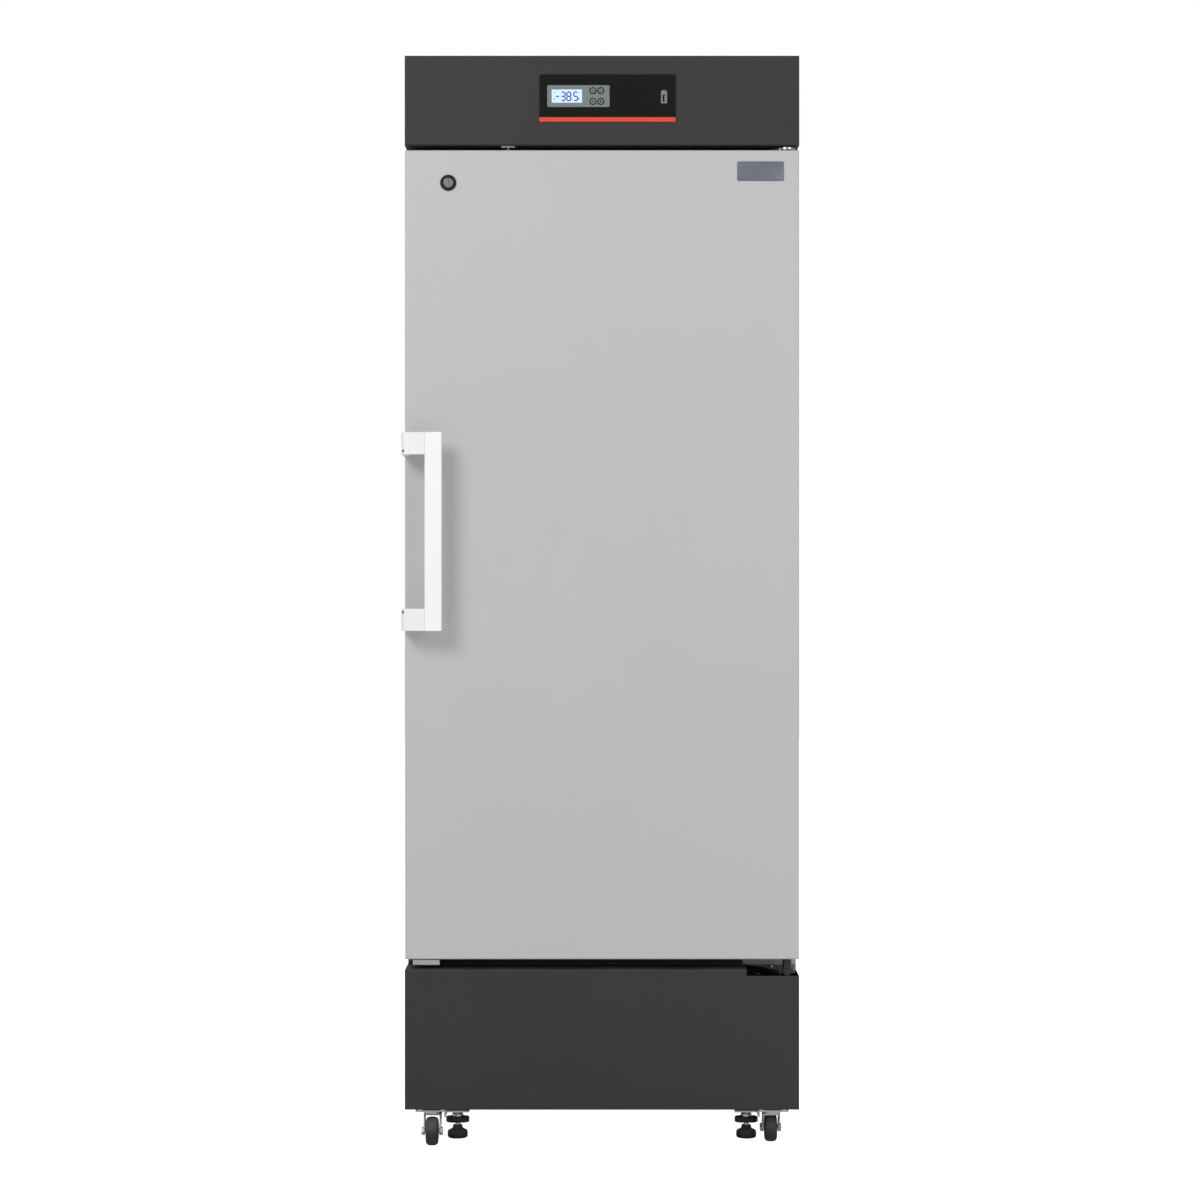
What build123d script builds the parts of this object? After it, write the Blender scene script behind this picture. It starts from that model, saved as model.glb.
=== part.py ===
from build123d import *
import math
import os

# Upright biomedical freezer. Front faces -Y, right side +X, up +Z.
# The origin lies on the floor under the centre of the whole outline. Millimetres.

# Outside of the cabinet
cabinet_width = 691.0
shell_depth = 645.0
door_reach = 75.0
handle_reach = 52.0
ground_clearance = 63.0
panel_raise = 4.5
panel_height = 245.0
gap_under_door = 18.5
door_height = 1416.5
gap_over_door = 8.5
fascia_height = 157.0

# Sheet metal and insulation
sheet = 1.2
frame_sheet = 3.0
base_sheet = 2.0
bracket_plate = 3.0
rear_flange = 15.0
roof_flange = 20.0
insulation = 87.0
liner_sheet = 1.5
liner_corner = 18.0
foam_below_door = 13.0
foam_above_door = 9.5
rail_height = 60.0
cover_edge_radius = 2.5
hood_slot = 4.0

# Fits
seat = 0.3
running = 0.05
slip = 0.2

# Flats on round pieces that are small or hidden
tube_facets = 8
small_facets = 16
round_facets = 24

# Door
door_width = 690.0
door_depth = 62.0
door_edge_radius = 3.0
door_lip = 14.0
door_liner_sheet = 2.0
plug_clearance = 8.0
plug_reach = 27.0
plug_corner = 12.0
plug_panel_rim = 40.0
plug_panel_recess = 6.0
gasket_inset = 22.0
gasket_width = 20.0
gasket_foot = 4.0
gasket_neck_width = 12.0
gasket_neck = 3.5

# Hinges
pin_inset = 20.0
pin_radius = 5.0
pin_engagement = 22.0
bush_wall = 4.0
bush_flange = 2.0
bush_flange_height = 1.0
hinge_plate = 4.0
hinge_width = 92.0
hinge_nose_radius = 14.0
hinge_flange_height = 44.0
top_hinge_gap = 1.5
lower_hinge_drop = 7.5
lower_hinge_plate = 6.0
lower_collar_radius = 8.0
panel_notch_drop = 10.5

# Handle
handle_length = 344.0
handle_middle_z = 1078.5
handle_bar_width = 29.5
handle_bar_depth = 14.0
handle_bar_radius = 2.5
handle_bar_inset = 38.0
handle_foot_height = 38.5
handle_foot_thickness = 9.0
handle_foot_setback = 2.0
handle_arm_width = 12.0
handle_side_plate = 3.0
handle_side_length = 40.0
handle_outer_radius = 12.0

# Key lock
lock_inset = 76.0
lock_drop = 57.5
lock_flange_radius = 14.0
lock_flange_height = 1.6
lock_barrel_radius = 11.0
lock_barrel_length = 20.0
lock_plug_radius = 8.0
lock_plug_proud = 0.8
key_slot_width = 2.2
key_slot_length = 9.0
key_slot_depth = 12.0
crank_radius = 16.0
crank_arm = 3.0
crank_pin_radius = 2.5
crank_pin_length = 7.0
bolt_radius = 4.0
bolt_yoke_thickness = 6.0
bolt_yoke_width = 32.0
yoke_rim = 4.0
yoke_lost_motion = 4.4
lock_case_wall = 1.5
lock_case_width = 52.0
lock_case_depth = 34.0
socket_radius = 7.0

# Control panel
bezel_width = 238.5
bezel_height = 83.0
bezel_x = 9.7
bezel_rise = 40.5
bezel_thickness = 1.6
bezel_corner = 2.0
strip_height = 8.2
face_width = 109.0
face_height = 38.0
face_x = -41.3
face_rise = 44.8
face_proud = 1.2
face_body_margin = 2.5
face_body_depth = 42.0
face_corner = 1.5
window_width = 53.0
window_height = 23.0
window_x = -61.5
window_thickness = 1.5
button_radius = 6.0
button_pitch_x = 13.6
button_pitch_z = 19.0
button_x = -9.0
button_proud = 0.9
button_travel = 1.0
button_stem = 5.0
usb_x = 108.5
usb_rise = 44.0
usb_width = 10.5
usb_height = 22.8
usb_mouth_width = 5.2
usb_mouth_height = 12.6
usb_depth = 14.0
usb_tongue = 1.8
board_width = 180.0
board_depth = 130.0
board_sheet = 1.6
board_standoff = 8.0
board_inset = 12.0

# Sensor over the door and rest under it
sensor_x = -164.8
sensor_width = 27.5
sensor_plate = 3.0
sensor_setback = 6.0
sensor_tip_radius = 1.75
sensor_tip_length = 4.6
rest_x = -308.5
rest_width = 47.0
rest_setback = 12.0
rest_lip = 9.0
rest_gap = 2.5
rest_leg = 32.0

# Casters
caster_x = 299.0
caster_setback = 43.0
rear_caster_setback = 52.0
wheel_radius = 25.0
tread_width = 22.0
wheel_facets = 32
axle_radius = 4.0
axle_nut_flats = 13.0
axle_nut_length = 3.5
fork_eye = 7.0
fork_cheek = 2.5
fork_gap = 1.8
fork_crown_width = 27.0
swivel_trail = 16.0
crown_clearance = 2.0
race_radius = 17.0
kingpin_radius = 4.0
mount_plate_width = 58.0
mount_plate_length = 74.0

# Levelling feet
foot_x = 258.0
foot_behind_caster = 50.0
foot_pad_radius = 18.0
foot_pad_height = 13.0
foot_neck_radius = 8.5
foot_neck_height = 9.0
foot_socket_radius = 6.0
stud_radius = 5.0
wing_radius = 21.0
wing_waist = 12.0
wing_tip = 5.0
wing_height = 10.0
wing_z = 27.0
nut_flats = 17.0
jam_nut_height = 4.0
jam_nut_gap = 1.0
stud_spare = 9.0
foot_web_drop = 15.0
foot_lug_width = 43.0
foot_hole_radius = 9.0
weld_nut_height = 7.0

# Refrigeration set in the lower compartment
tray_flange = 28.0
air_slot_length = 260.0
air_slot_width = 56.0
air_slot_inset = 86.0
compressor_x = -190.0
compressor_y = 190.0
canister_radius = 82.0
canister_height = 188.0
canister_shoulder = 32.0
shoulder_taper = 22.0
canister_crown = 16.0
crown_taper = 60.0
compressor_foot_width = 206.0
compressor_foot_depth = 170.0
compressor_foot_plate = 3.0
grommet_radius = 13.0
grommet_height = 18.0
grommet_inset = 18.0
terminal_box = 46.0
condenser_x = 150.0
condenser_width = 300.0
condenser_height = 216.0
condenser_depth = 50.0
condenser_setback = 24.0
condenser_fin = 1.0
condenser_fin_pitch = 20.0
condenser_web = 8.0
end_plate = 1.5
return_bend_radius = 4.5
return_bend_pitch = 27.0
shroud_sheet = 1.5
shroud_size = 212.0
shroud_ring_radius = 97.0
shroud_ring_depth = 34.0
shroud_hub_radius = 24.0
shroud_arm_width = 10.0
fan_radius = 92.0
fan_hub_radius = 22.0
fan_hub_length = 24.0
fan_blades = 5
fan_blade_sheet = 2.0
fan_blade_chord = 46.0
fan_blade_pitch = 32.0
fan_shaft_radius = 3.0
fan_shaft_reach = 24.0
motor_radius = 34.0
motor_length = 50.0
pipe_radius = 4.0
suction_pipe_radius = 5.0
drier_radius = 11.0
drier_length = 90.0
slot_columns = 3
slot_rows = 11
slot_width = 150.0
slot_height = 7.0
slot_pitch_x = 178.0
slot_pitch_z = 18.0

# Inside the cold space
shelf_count = 4
shelf_sheet = 2.0
shelf_flange = 18.0
shelf_lip = 14.0
shelf_front_gap = 34.0
shelf_back_gap = 18.0
channel_width = 9.0
channel_height = 3.0
channel_runs = 6
channel_pitch = 74.0
channel_margin = 46.0
riser_radius = 4.0
riser_offset = 30.0

# Rear port and inlet
port_x = 190.0
port_z = 1430.0
port_radius = 12.5
port_wall = 2.5
port_flange = 6.0
bung_length = 45.0
inlet_x = -285.0
inlet_z = 118.0
inlet_flange_width = 50.0
inlet_flange_height = 27.0
inlet_mouth_width = 25.0
inlet_mouth_height = 17.0
inlet_mouth_depth = 16.0
inlet_wall = 2.0
inlet_pin_pitch = 7.0
inlet_pin_rise = 3.5

# Places worked out from the sizes above
half_width = cabinet_width / 2
back_y = (shell_depth + door_reach + handle_reach) / 2
shell_y = back_y - shell_depth
front_y = shell_y - door_reach
inner_back_y = back_y - 2 * sheet
base_z = ground_clearance
panel_z = base_z + panel_raise
panel_top_z = panel_z + panel_height
door_z = panel_top_z + gap_under_door
door_top_z = door_z + door_height
fascia_z = door_top_z + gap_over_door
top_z = fascia_z + fascia_height
foam_z = door_z - foam_below_door
foam_top_z = door_top_z + foam_above_door
foam_front_y = shell_y + frame_sheet
liner_half = half_width - insulation
liner_z = foam_z + insulation
liner_top_z = foam_top_z - insulation
liner_back_y = back_y - insulation
shell_half = half_width - sheet
door_half = door_width / 2
door_back_y = front_y + door_depth
pin_x = door_half - pin_inset
pin_y = front_y + pin_inset
lock_x = -door_half + lock_inset
lock_z = door_top_z - lock_drop
caster_z = base_z - bracket_plate
caster_y = front_y + caster_setback
rear_caster_y = back_y - rear_caster_setback
foot_y = caster_y + foot_behind_caster
foot_lug_z = base_z - foot_web_drop
button_z = fascia_z + face_rise + bezel_rise
face_z = button_z


def front_plane(y):
    """A plane that looks along -Y, with X to the right and Z up, at depth y."""
    return Plane.XZ.offset(-y)


def block(x0, x1, y0, y1, z0, z1, mode=Mode.ADD):
    """A box between two corners, added to the piece in hand or cut from it."""
    with Locations(((x0 + x1) / 2, (y0 + y1) / 2, (z0 + z1) / 2)):
        Box(x1 - x0, y1 - y0, z1 - z0, mode=mode)


def rod(x, y, z0, z1, radius, mode=Mode.ADD):
    """An upright round bar or hole."""
    with Locations((x, y, (z0 + z1) / 2)):
        Cylinder(radius, z1 - z0, mode=mode)


def cross_rod(x, y0, y1, z, radius, mode=Mode.ADD):
    """A round bar or hole that runs from front to back."""
    with Locations((x, (y0 + y1) / 2, z)):
        Cylinder(radius, y1 - y0, rotation=(90, 0, 0), mode=mode)


def save(piece, label):
    """Labels a finished piece and writes it."""
    piece.label = label
    export_step(piece, "parts/" + label + ".step")


os.makedirs("parts", exist_ok=True)

# Outer side panels, each folded round to the back
with BuildPart() as side_panel_left:
    with BuildSketch(Plane.XY.offset(base_z)):
        with BuildLine():
            Polyline(
                (-half_width, shell_y),
                (-half_width, back_y),
                (-half_width + rear_flange, back_y),
                (-half_width + rear_flange, back_y - sheet),
                (-half_width + sheet, back_y - sheet),
                (-half_width + sheet, shell_y),
                close=True,
            )
        make_face()
    extrude(amount=top_z - sheet - base_z)
    rear_corner = side_panel_left.edges().filter_by(Axis.Z).group_by(Axis.Y)[-1].sort_by(Axis.X)[0]
    fillet(rear_corner, sheet)
save(side_panel_left.part, "side_panel_left")

with BuildPart() as side_panel_right:
    mirror(side_panel_left.part, about=Plane.YZ)
save(side_panel_right.part, "side_panel_right")

# Roof panel with folded sides and a long rear skirt that closes the control space
with BuildPart() as roof_panel:
    block(-half_width, half_width, shell_y, back_y, top_z - sheet, top_z)
    roof_corners = roof_panel.edges().filter_by(Axis.Z).group_by(Axis.Y)[-1]
    fillet(roof_corners, sheet)
    block(-shell_half, shell_half, inner_back_y, inner_back_y + sheet, foam_top_z + sheet, top_z - sheet)
    flange_z = top_z - sheet - roof_flange
    block(-shell_half, -shell_half + sheet, shell_y + frame_sheet, inner_back_y, flange_z, top_z - sheet)
    block(shell_half - sheet, shell_half, shell_y + frame_sheet, inner_back_y, flange_z, top_z - sheet)
save(roof_panel.part, "roof_panel")

# Back panel, folded forward under and over the foam
with BuildPart() as back_panel:
    block(-shell_half, shell_half, inner_back_y, inner_back_y + sheet, foam_z - sheet, foam_top_z + sheet)
    block(-shell_half, shell_half, foam_front_y, inner_back_y, foam_z - sheet, foam_z)
    block(-shell_half, shell_half, foam_front_y, inner_back_y, foam_top_z, foam_top_z + sheet)
    cross_rod(port_x, inner_back_y, back_y, port_z, port_radius + port_wall, mode=Mode.SUBTRACT)
save(back_panel.part, "back_panel")

# Foamed body round the cold space
with BuildPart() as foam_insulation:
    block(-shell_half, shell_half, foam_front_y, inner_back_y, foam_z, foam_top_z)
    with BuildSketch(front_plane(foam_front_y)):
        with Locations((0, (liner_z + liner_top_z) / 2)):
            RectangleRounded(
                2 * (liner_half + liner_sheet),
                liner_top_z - liner_z + 2 * liner_sheet,
                liner_corner + liner_sheet,
            )
    extrude(amount=-(liner_back_y + liner_sheet - foam_front_y), mode=Mode.SUBTRACT)
    cross_rod(port_x, liner_back_y, inner_back_y, port_z, port_radius + port_wall, mode=Mode.SUBTRACT)
save(foam_insulation.part, "foam_insulation")

# Liner of the cold space, open to the front
with BuildPart() as inner_liner:
    with BuildSketch(front_plane(foam_front_y)):
        with Locations((0, (liner_z + liner_top_z) / 2)):
            RectangleRounded(
                2 * (liner_half + liner_sheet),
                liner_top_z - liner_z + 2 * liner_sheet,
                liner_corner + liner_sheet,
            )
    extrude(amount=-(liner_back_y + liner_sheet - foam_front_y))
    with BuildSketch(front_plane(foam_front_y)):
        with Locations((0, (liner_z + liner_top_z) / 2)):
            RectangleRounded(2 * liner_half, liner_top_z - liner_z, liner_corner)
    extrude(amount=-(liner_back_y - foam_front_y), mode=Mode.SUBTRACT)
    cross_rod(port_x, liner_back_y, back_y, port_z, port_radius + port_wall, mode=Mode.SUBTRACT)
save(inner_liner.part, "inner_liner")

# Steel frame round the mouth, which the door seals on and the hinges bolt to
with BuildPart() as front_frame:
    with BuildSketch(front_plane(shell_y)):
        with Locations((0, (foam_z + foam_top_z) / 2)):
            Rectangle(2 * shell_half, foam_top_z - foam_z + 2 * rail_height)
        with Locations((0, (liner_z + liner_top_z) / 2)):
            RectangleRounded(2 * liner_half, liner_top_z - liner_z, liner_corner, mode=Mode.SUBTRACT)
    extrude(amount=-frame_sheet)
save(front_frame.part, "front_frame")

# Top fascia, a folded hood with a window for the controller and a hole for the lock bolt
bolt_y = front_y + lock_barrel_length + crank_arm + seat + bolt_yoke_thickness / 2
with BuildPart() as top_fascia:
    block(-half_width, half_width, front_y, shell_y, fascia_z, top_z)
    fascia_front = top_fascia.faces().sort_by(Axis.Y)[0]
    fillet(fascia_front.edges(), cover_edge_radius)
    fascia_back = top_fascia.faces().sort_by(Axis.Y)[-1]
    offset(amount=-sheet, openings=fascia_back)
    block(-shell_half, shell_half, shell_y - hood_slot, shell_y, fascia_z, fascia_z + sheet,
          mode=Mode.SUBTRACT)
    with BuildSketch(front_plane(front_y)):
        with Locations((face_x, face_z)):
            Rectangle(
                face_width - 2 * face_body_margin + 2 * slip,
                face_height - 2 * face_body_margin + 2 * slip,
            )
        with Locations((usb_x, fascia_z + bezel_rise + usb_rise)):
            Rectangle(usb_width + 2 * slip, usb_height + 2 * slip)
    extrude(amount=-sheet, mode=Mode.SUBTRACT)
    rod(lock_x, bolt_y, fascia_z, fascia_z + sheet, socket_radius, mode=Mode.SUBTRACT)
save(top_fascia.part, "top_fascia")

# Lower front panel, notched at its top right corner for the hinge
with BuildPart() as lower_panel:
    block(-half_width, half_width, front_y, shell_y, panel_z, panel_top_z)
    panel_front = lower_panel.faces().sort_by(Axis.Y)[0]
    fillet(panel_front.edges(), cover_edge_radius)
    panel_back = lower_panel.faces().sort_by(Axis.Y)[-1]
    offset(amount=-sheet, openings=panel_back)
    block(-shell_half, shell_half, shell_y - hood_slot, shell_y, panel_top_z - sheet, panel_top_z,
          mode=Mode.SUBTRACT)
    notch_x = half_width - hinge_width - seat
    notch_z = panel_top_z - panel_notch_drop
    block(notch_x, half_width, front_y, shell_y, notch_z, panel_top_z, mode=Mode.SUBTRACT)
save(lower_panel.part, "lower_panel")

# Black control panel on the fascia, with windows for the controller and the data socket
bezel_z = fascia_z + bezel_rise
bezel_front = front_y - bezel_thickness
usb_z = bezel_z + usb_rise
with BuildPart() as control_bezel:
    with BuildSketch(front_plane(front_y)):
        with Locations((bezel_x, bezel_z + (bezel_height + strip_height) / 2)):
            Rectangle(bezel_width, bezel_height - strip_height)
        with Locations((face_x, face_z)):
            Rectangle(face_width + 2 * slip, face_height + 2 * slip, mode=Mode.SUBTRACT)
        with Locations((usb_x, usb_z)):
            Rectangle(usb_width + 2 * slip, usb_height + 2 * slip, mode=Mode.SUBTRACT)
    extrude(amount=bezel_thickness)
    upper_corners = control_bezel.edges().filter_by(Axis.Y).group_by(Axis.Z)[-1]
    fillet(upper_corners, bezel_corner)
save(control_bezel.part, "control_bezel")

# Coloured strip along the foot of the control panel
with BuildPart() as accent_strip:
    with BuildSketch(front_plane(front_y)):
        with Locations((bezel_x, bezel_z + strip_height / 2)):
            Rectangle(bezel_width, strip_height)
    extrude(amount=bezel_thickness)
    lower_corners = accent_strip.edges().filter_by(Axis.Y).group_by(Axis.Z)[0]
    fillet(lower_corners, bezel_corner)
save(accent_strip.part, "accent_strip")

# Controller: a moulded front with a display opening and four button holes, on its case
button_places = [
    (button_x - button_pitch_x / 2, button_z + button_pitch_z / 2),
    (button_x + button_pitch_x / 2, button_z + button_pitch_z / 2),
    (button_x - button_pitch_x / 2, button_z - button_pitch_z / 2),
    (button_x + button_pitch_x / 2, button_z - button_pitch_z / 2),
]
face_front = bezel_front - face_proud
stem_end_y = face_front + button_stem
with BuildPart() as controller_face:
    with BuildSketch(front_plane(front_y)):
        with Locations((face_x, face_z)):
            Rectangle(face_width, face_height)
    extrude(amount=front_y - face_front)
    chamfer(controller_face.edges().filter_by(Axis.Y), face_corner)
    with BuildSketch(front_plane(front_y)):
        with Locations((face_x, face_z)):
            Rectangle(face_width - 2 * face_body_margin, face_height - 2 * face_body_margin)
    extrude(amount=-face_body_depth)
    with BuildSketch(front_plane(face_front)):
        with Locations((window_x, face_z)):
            Rectangle(window_width + 2 * slip, window_height + 2 * slip)
    extrude(amount=-(window_thickness + slip), mode=Mode.SUBTRACT)
    with BuildSketch(front_plane(face_front)):
        with Locations(*button_places):
            RegularPolygon(button_radius + slip, round_facets)
    extrude(amount=-(button_stem + button_travel + slip), mode=Mode.SUBTRACT)
save(controller_face.part, "controller_face")

with BuildPart() as display_window:
    with BuildSketch(front_plane(face_front + window_thickness)):
        with Locations((window_x, face_z)):
            Rectangle(window_width, window_height)
    extrude(amount=window_thickness)
save(display_window.part, "display_window")

# Round push buttons, flat in front
for number, (x, z) in enumerate(button_places, start=1):
    with BuildPart() as button:
        with BuildSketch(front_plane(stem_end_y)):
            with Locations((x, z)):
                RegularPolygon(button_radius, round_facets)
        extrude(amount=button_stem + button_proud)
    save(button.part, "button_" + str(number))

# Data socket with an arched front
with BuildPart() as usb_port:
    with BuildSketch(front_plane(front_y + usb_depth)):
        with Locations((usb_x, usb_z)):
            Rectangle(usb_width, usb_height)
    extrude(amount=usb_depth + bezel_thickness)
    arch_edges = usb_port.edges().filter_by(Axis.Y).group_by(Axis.Z)[-1]
    fillet(arch_edges, usb_width / 3)
    mouth_z = usb_z - (usb_height - usb_mouth_height) / 4
    with BuildSketch(front_plane(bezel_front)):
        with Locations((usb_x, mouth_z)):
            Rectangle(usb_mouth_width, usb_mouth_height)
    extrude(amount=-(usb_depth - bezel_thickness), mode=Mode.SUBTRACT)
    tongue_x = usb_x + usb_mouth_width / 2 - usb_tongue / 2
    tongue_half = usb_mouth_height / 2 - usb_tongue / 2
    tongue_y1 = front_y + usb_depth - bezel_thickness
    block(tongue_x - usb_tongue / 2, tongue_x + usb_tongue / 2, front_y, tongue_y1, mouth_z - tongue_half,
          mouth_z + tongue_half)
save(usb_port.part, "usb_port")

# Control board on standoffs over the foam, with transformer, relays and terminals
board_z = foam_top_z + sheet + board_standoff
board_y = shell_y + board_depth
with BuildPart() as control_board:
    with BuildSketch(Plane.XY.offset(board_z)):
        with Locations((0, board_y)):
            Rectangle(board_width, board_depth)
    extrude(amount=board_sheet)
    with BuildSketch(Plane.XY.offset(board_z)):
        with Locations((0, board_y)):
            with GridLocations(board_width - 2 * board_inset, board_depth - 2 * board_inset, 2, 2):
                RegularPolygon(board_standoff / 2, 6)
    extrude(amount=-board_standoff)
    with BuildSketch(Plane.XY.offset(board_z + board_sheet)):
        with Locations((-board_width / 4, board_y)):
            Rectangle(board_width / 4, board_depth / 3)
    extrude(amount=board_depth / 4)
    with BuildSketch(Plane.XY.offset(board_z + board_sheet)):
        with Locations((board_width / 5, board_y)):
            with GridLocations(board_width / 7, board_depth / 3, 3, 2):
                Rectangle(board_width / 10, board_depth / 6)
    extrude(amount=board_depth / 8)
save(control_board.part, "control_board")

# Magnetic door sensor on the underside of the fascia
with BuildPart() as door_switch:
    sensor_y0 = front_y + sensor_setback
    block(sensor_x - sensor_width / 2, sensor_x + sensor_width / 2, sensor_y0, shell_y - hood_slot,
          fascia_z - sensor_plate, fascia_z)
    chamfer(door_switch.edges().filter_by(Axis.Z), sensor_plate)
    rod(sensor_x, sensor_y0 + sensor_width / 2, fascia_z - sensor_plate - sensor_tip_length,
        fascia_z - sensor_plate, sensor_tip_radius)
save(door_switch.part, "door_switch")

# Rest under the free side of the door: an angle with a raised front lip
with BuildPart() as door_rest_plate:
    rest_top = door_z - rest_gap
    rest_y0 = front_y + rest_setback
    with BuildSketch(Plane.YZ.offset(rest_x - rest_width / 2)):
        with BuildLine():
            Polyline(
                (rest_y0, rest_top),
                (rest_y0 + bracket_plate, rest_top),
                (rest_y0 + bracket_plate, rest_top - rest_lip + bracket_plate),
                (shell_y, rest_top - rest_lip + bracket_plate),
                (shell_y, rest_top - rest_lip - rest_leg),
                (shell_y - bracket_plate, rest_top - rest_lip - rest_leg),
                (shell_y - bracket_plate, rest_top - rest_lip),
                (rest_y0, rest_top - rest_lip),
                close=True,
            )
        make_face()
    extrude(amount=rest_width)
save(door_rest_plate.part, "door_rest_plate")


def hinge_bracket(plate_z, plate_height, flange_z0, flange_z1):
    """A tapered hinge plate with a flange that bolts to the front frame, without its pin."""
    with BuildPart() as bracket:
        inner_x = half_width - hinge_width
        with BuildSketch(Plane.XY.offset(plate_z)):
            with BuildLine():
                Polyline(
                    (inner_x, shell_y),
                    (inner_x, shell_y - hinge_plate),
                    (pin_x - hinge_nose_radius, pin_y - hinge_nose_radius / 2),
                    (pin_x, pin_y - hinge_nose_radius),
                    (pin_x + hinge_nose_radius, pin_y),
                    (half_width - sheet, shell_y),
                    close=True,
                )
            make_face()
            with Locations((pin_x, pin_y)):
                Circle(hinge_nose_radius)
        extrude(amount=plate_height)
        block(inner_x, half_width - sheet, shell_y - bracket_plate, shell_y, flange_z0, flange_z1)
    return bracket


# Top hinge bracket with its pin pointing down into the door
top_plate_z = door_top_z + bush_flange_height + top_hinge_gap
with BuildPart() as hinge_top_bracket:
    add(hinge_bracket(top_plate_z, hinge_plate, top_plate_z, fascia_z + hinge_flange_height).part)
    rod(pin_x, pin_y, door_top_z - pin_engagement, top_plate_z, pin_radius)
save(hinge_top_bracket.part, "hinge_top_bracket")

# Lower hinge bracket with a collar under the door and its pin pointing up
low_plate_z = panel_top_z - lower_hinge_drop
with BuildPart() as hinge_bottom_bracket:
    low_plate_top = low_plate_z + lower_hinge_plate
    add(hinge_bracket(low_plate_z, lower_hinge_plate, low_plate_z - hinge_flange_height, low_plate_top).part)
    rod(pin_x, pin_y, low_plate_top, door_z + pin_engagement, pin_radius)
    rod(pin_x, pin_y, low_plate_top, door_z - bush_flange_height - seat, lower_collar_radius)
save(hinge_bottom_bracket.part, "hinge_bottom_bracket")

# Plain bushes in the top and foot of the door
with BuildPart() as hinge_bushes:
    bush_radius = pin_radius + running + bush_wall
    for end_z, inward in ((door_top_z, -1), (door_z, 1)):
        with BuildSketch(Plane.XY.offset(end_z)):
            with Locations((pin_x, pin_y)):
                RegularPolygon(bush_radius, small_facets)
        extrude(amount=inward * (pin_engagement + seat))
        with BuildSketch(Plane.XY.offset(end_z)):
            with Locations((pin_x, pin_y)):
                RegularPolygon(bush_radius + bush_flange, small_facets)
        extrude(amount=-inward * bush_flange_height)
    rod(pin_x, pin_y, door_z - bush_flange_height, door_top_z + bush_flange_height, pin_radius + running,
        mode=Mode.SUBTRACT)
save(hinge_bushes.part, "hinge_bushes")

# Door skin: a folded pan with a return lip round its back
with BuildPart() as door_skin:
    block(-door_half, door_half, front_y, door_back_y, door_z, door_top_z)
    fillet(door_skin.faces().sort_by(Axis.Y)[0].edges(), door_edge_radius)
    offset(amount=-sheet, openings=door_skin.faces().sort_by(Axis.Y)[-1])
    lip_y = door_back_y - sheet
    block(-door_half + sheet, door_half - sheet, lip_y, door_back_y, door_z + sheet, door_top_z - sheet)
    block(-door_half + door_lip, door_half - door_lip, lip_y, door_back_y, door_z + door_lip,
          door_top_z - door_lip, mode=Mode.SUBTRACT)
    rod(pin_x, pin_y, door_z, door_top_z, bush_radius, mode=Mode.SUBTRACT)
    rod(lock_x, bolt_y, lock_z, door_top_z, bolt_radius + slip, mode=Mode.SUBTRACT)
    cross_rod(lock_x, front_y, front_y + sheet, lock_z, lock_barrel_radius, mode=Mode.SUBTRACT)
save(door_skin.part, "door_skin")

# Inner face of the door, with a raised panel that enters the mouth of the cold space
plug_half = liner_half - plug_clearance
plug_z = liner_z + plug_clearance
plug_top_z = liner_top_z - plug_clearance
plug_y = door_back_y + plug_reach
liner_plate_y = door_back_y - sheet - door_liner_sheet
with BuildPart() as door_liner:
    block(-door_half + sheet, door_half - sheet, liner_plate_y, door_back_y - sheet, door_z + sheet,
          door_top_z - sheet)
    with BuildSketch(front_plane(door_back_y - sheet)):
        with Locations((0, (plug_z + plug_top_z) / 2)):
            RectangleRounded(2 * plug_half, plug_top_z - plug_z, plug_corner)
    extrude(amount=-(plug_y - door_back_y + sheet))
    with BuildSketch(front_plane(liner_plate_y)):
        with Locations((0, (plug_z + plug_top_z) / 2)):
            RectangleRounded(
                2 * (plug_half - door_liner_sheet),
                plug_top_z - plug_z - 2 * door_liner_sheet,
                plug_corner - door_liner_sheet,
            )
    extrude(amount=-(plug_y - door_liner_sheet - plug_panel_recess - liner_plate_y), mode=Mode.SUBTRACT)
    with BuildSketch(front_plane(plug_y)):
        with Locations((0, (plug_z + plug_top_z) / 2)):
            Rectangle(2 * (plug_half - plug_panel_rim), plug_top_z - plug_z - 2 * plug_panel_rim)
    extrude(amount=plug_panel_recess, mode=Mode.SUBTRACT)
save(door_liner.part, "door_liner")

# Steel case of the lock, open to the barrel in front and the bolt above
case_half = lock_case_width / 2
case_x = lock_x + crank_radius / 2
case_y0 = front_y + sheet
case_y1 = case_y0 + lock_case_depth
case_z0 = lock_z - lock_barrel_radius - 2 * lock_case_wall
case_top = door_top_z - door_edge_radius
with BuildPart() as lock_housing:
    block(case_x - case_half, case_x + case_half, case_y0, case_y1, case_z0, case_top)
    block(case_x - case_half + lock_case_wall, case_x + case_half - lock_case_wall, case_y0 + lock_case_wall,
          case_y1 - lock_case_wall, case_z0 + lock_case_wall, case_top - lock_case_wall, mode=Mode.SUBTRACT)
    with BuildSketch(front_plane(front_y + lock_barrel_length)):
        with Locations((lock_x, lock_z)):
            RegularPolygon(lock_barrel_radius, small_facets)
    extrude(amount=lock_barrel_length)
    cross_rod(lock_x, front_y - lock_flange_height, front_y, lock_z, lock_flange_radius)
    cross_rod(lock_x, front_y - lock_flange_height, front_y + lock_barrel_length, lock_z,
              lock_plug_radius + running, mode=Mode.SUBTRACT)
    rod(lock_x, bolt_y, case_top - lock_case_wall, case_top, bolt_radius + running, mode=Mode.SUBTRACT)
save(lock_housing.part, "lock_housing")

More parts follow.
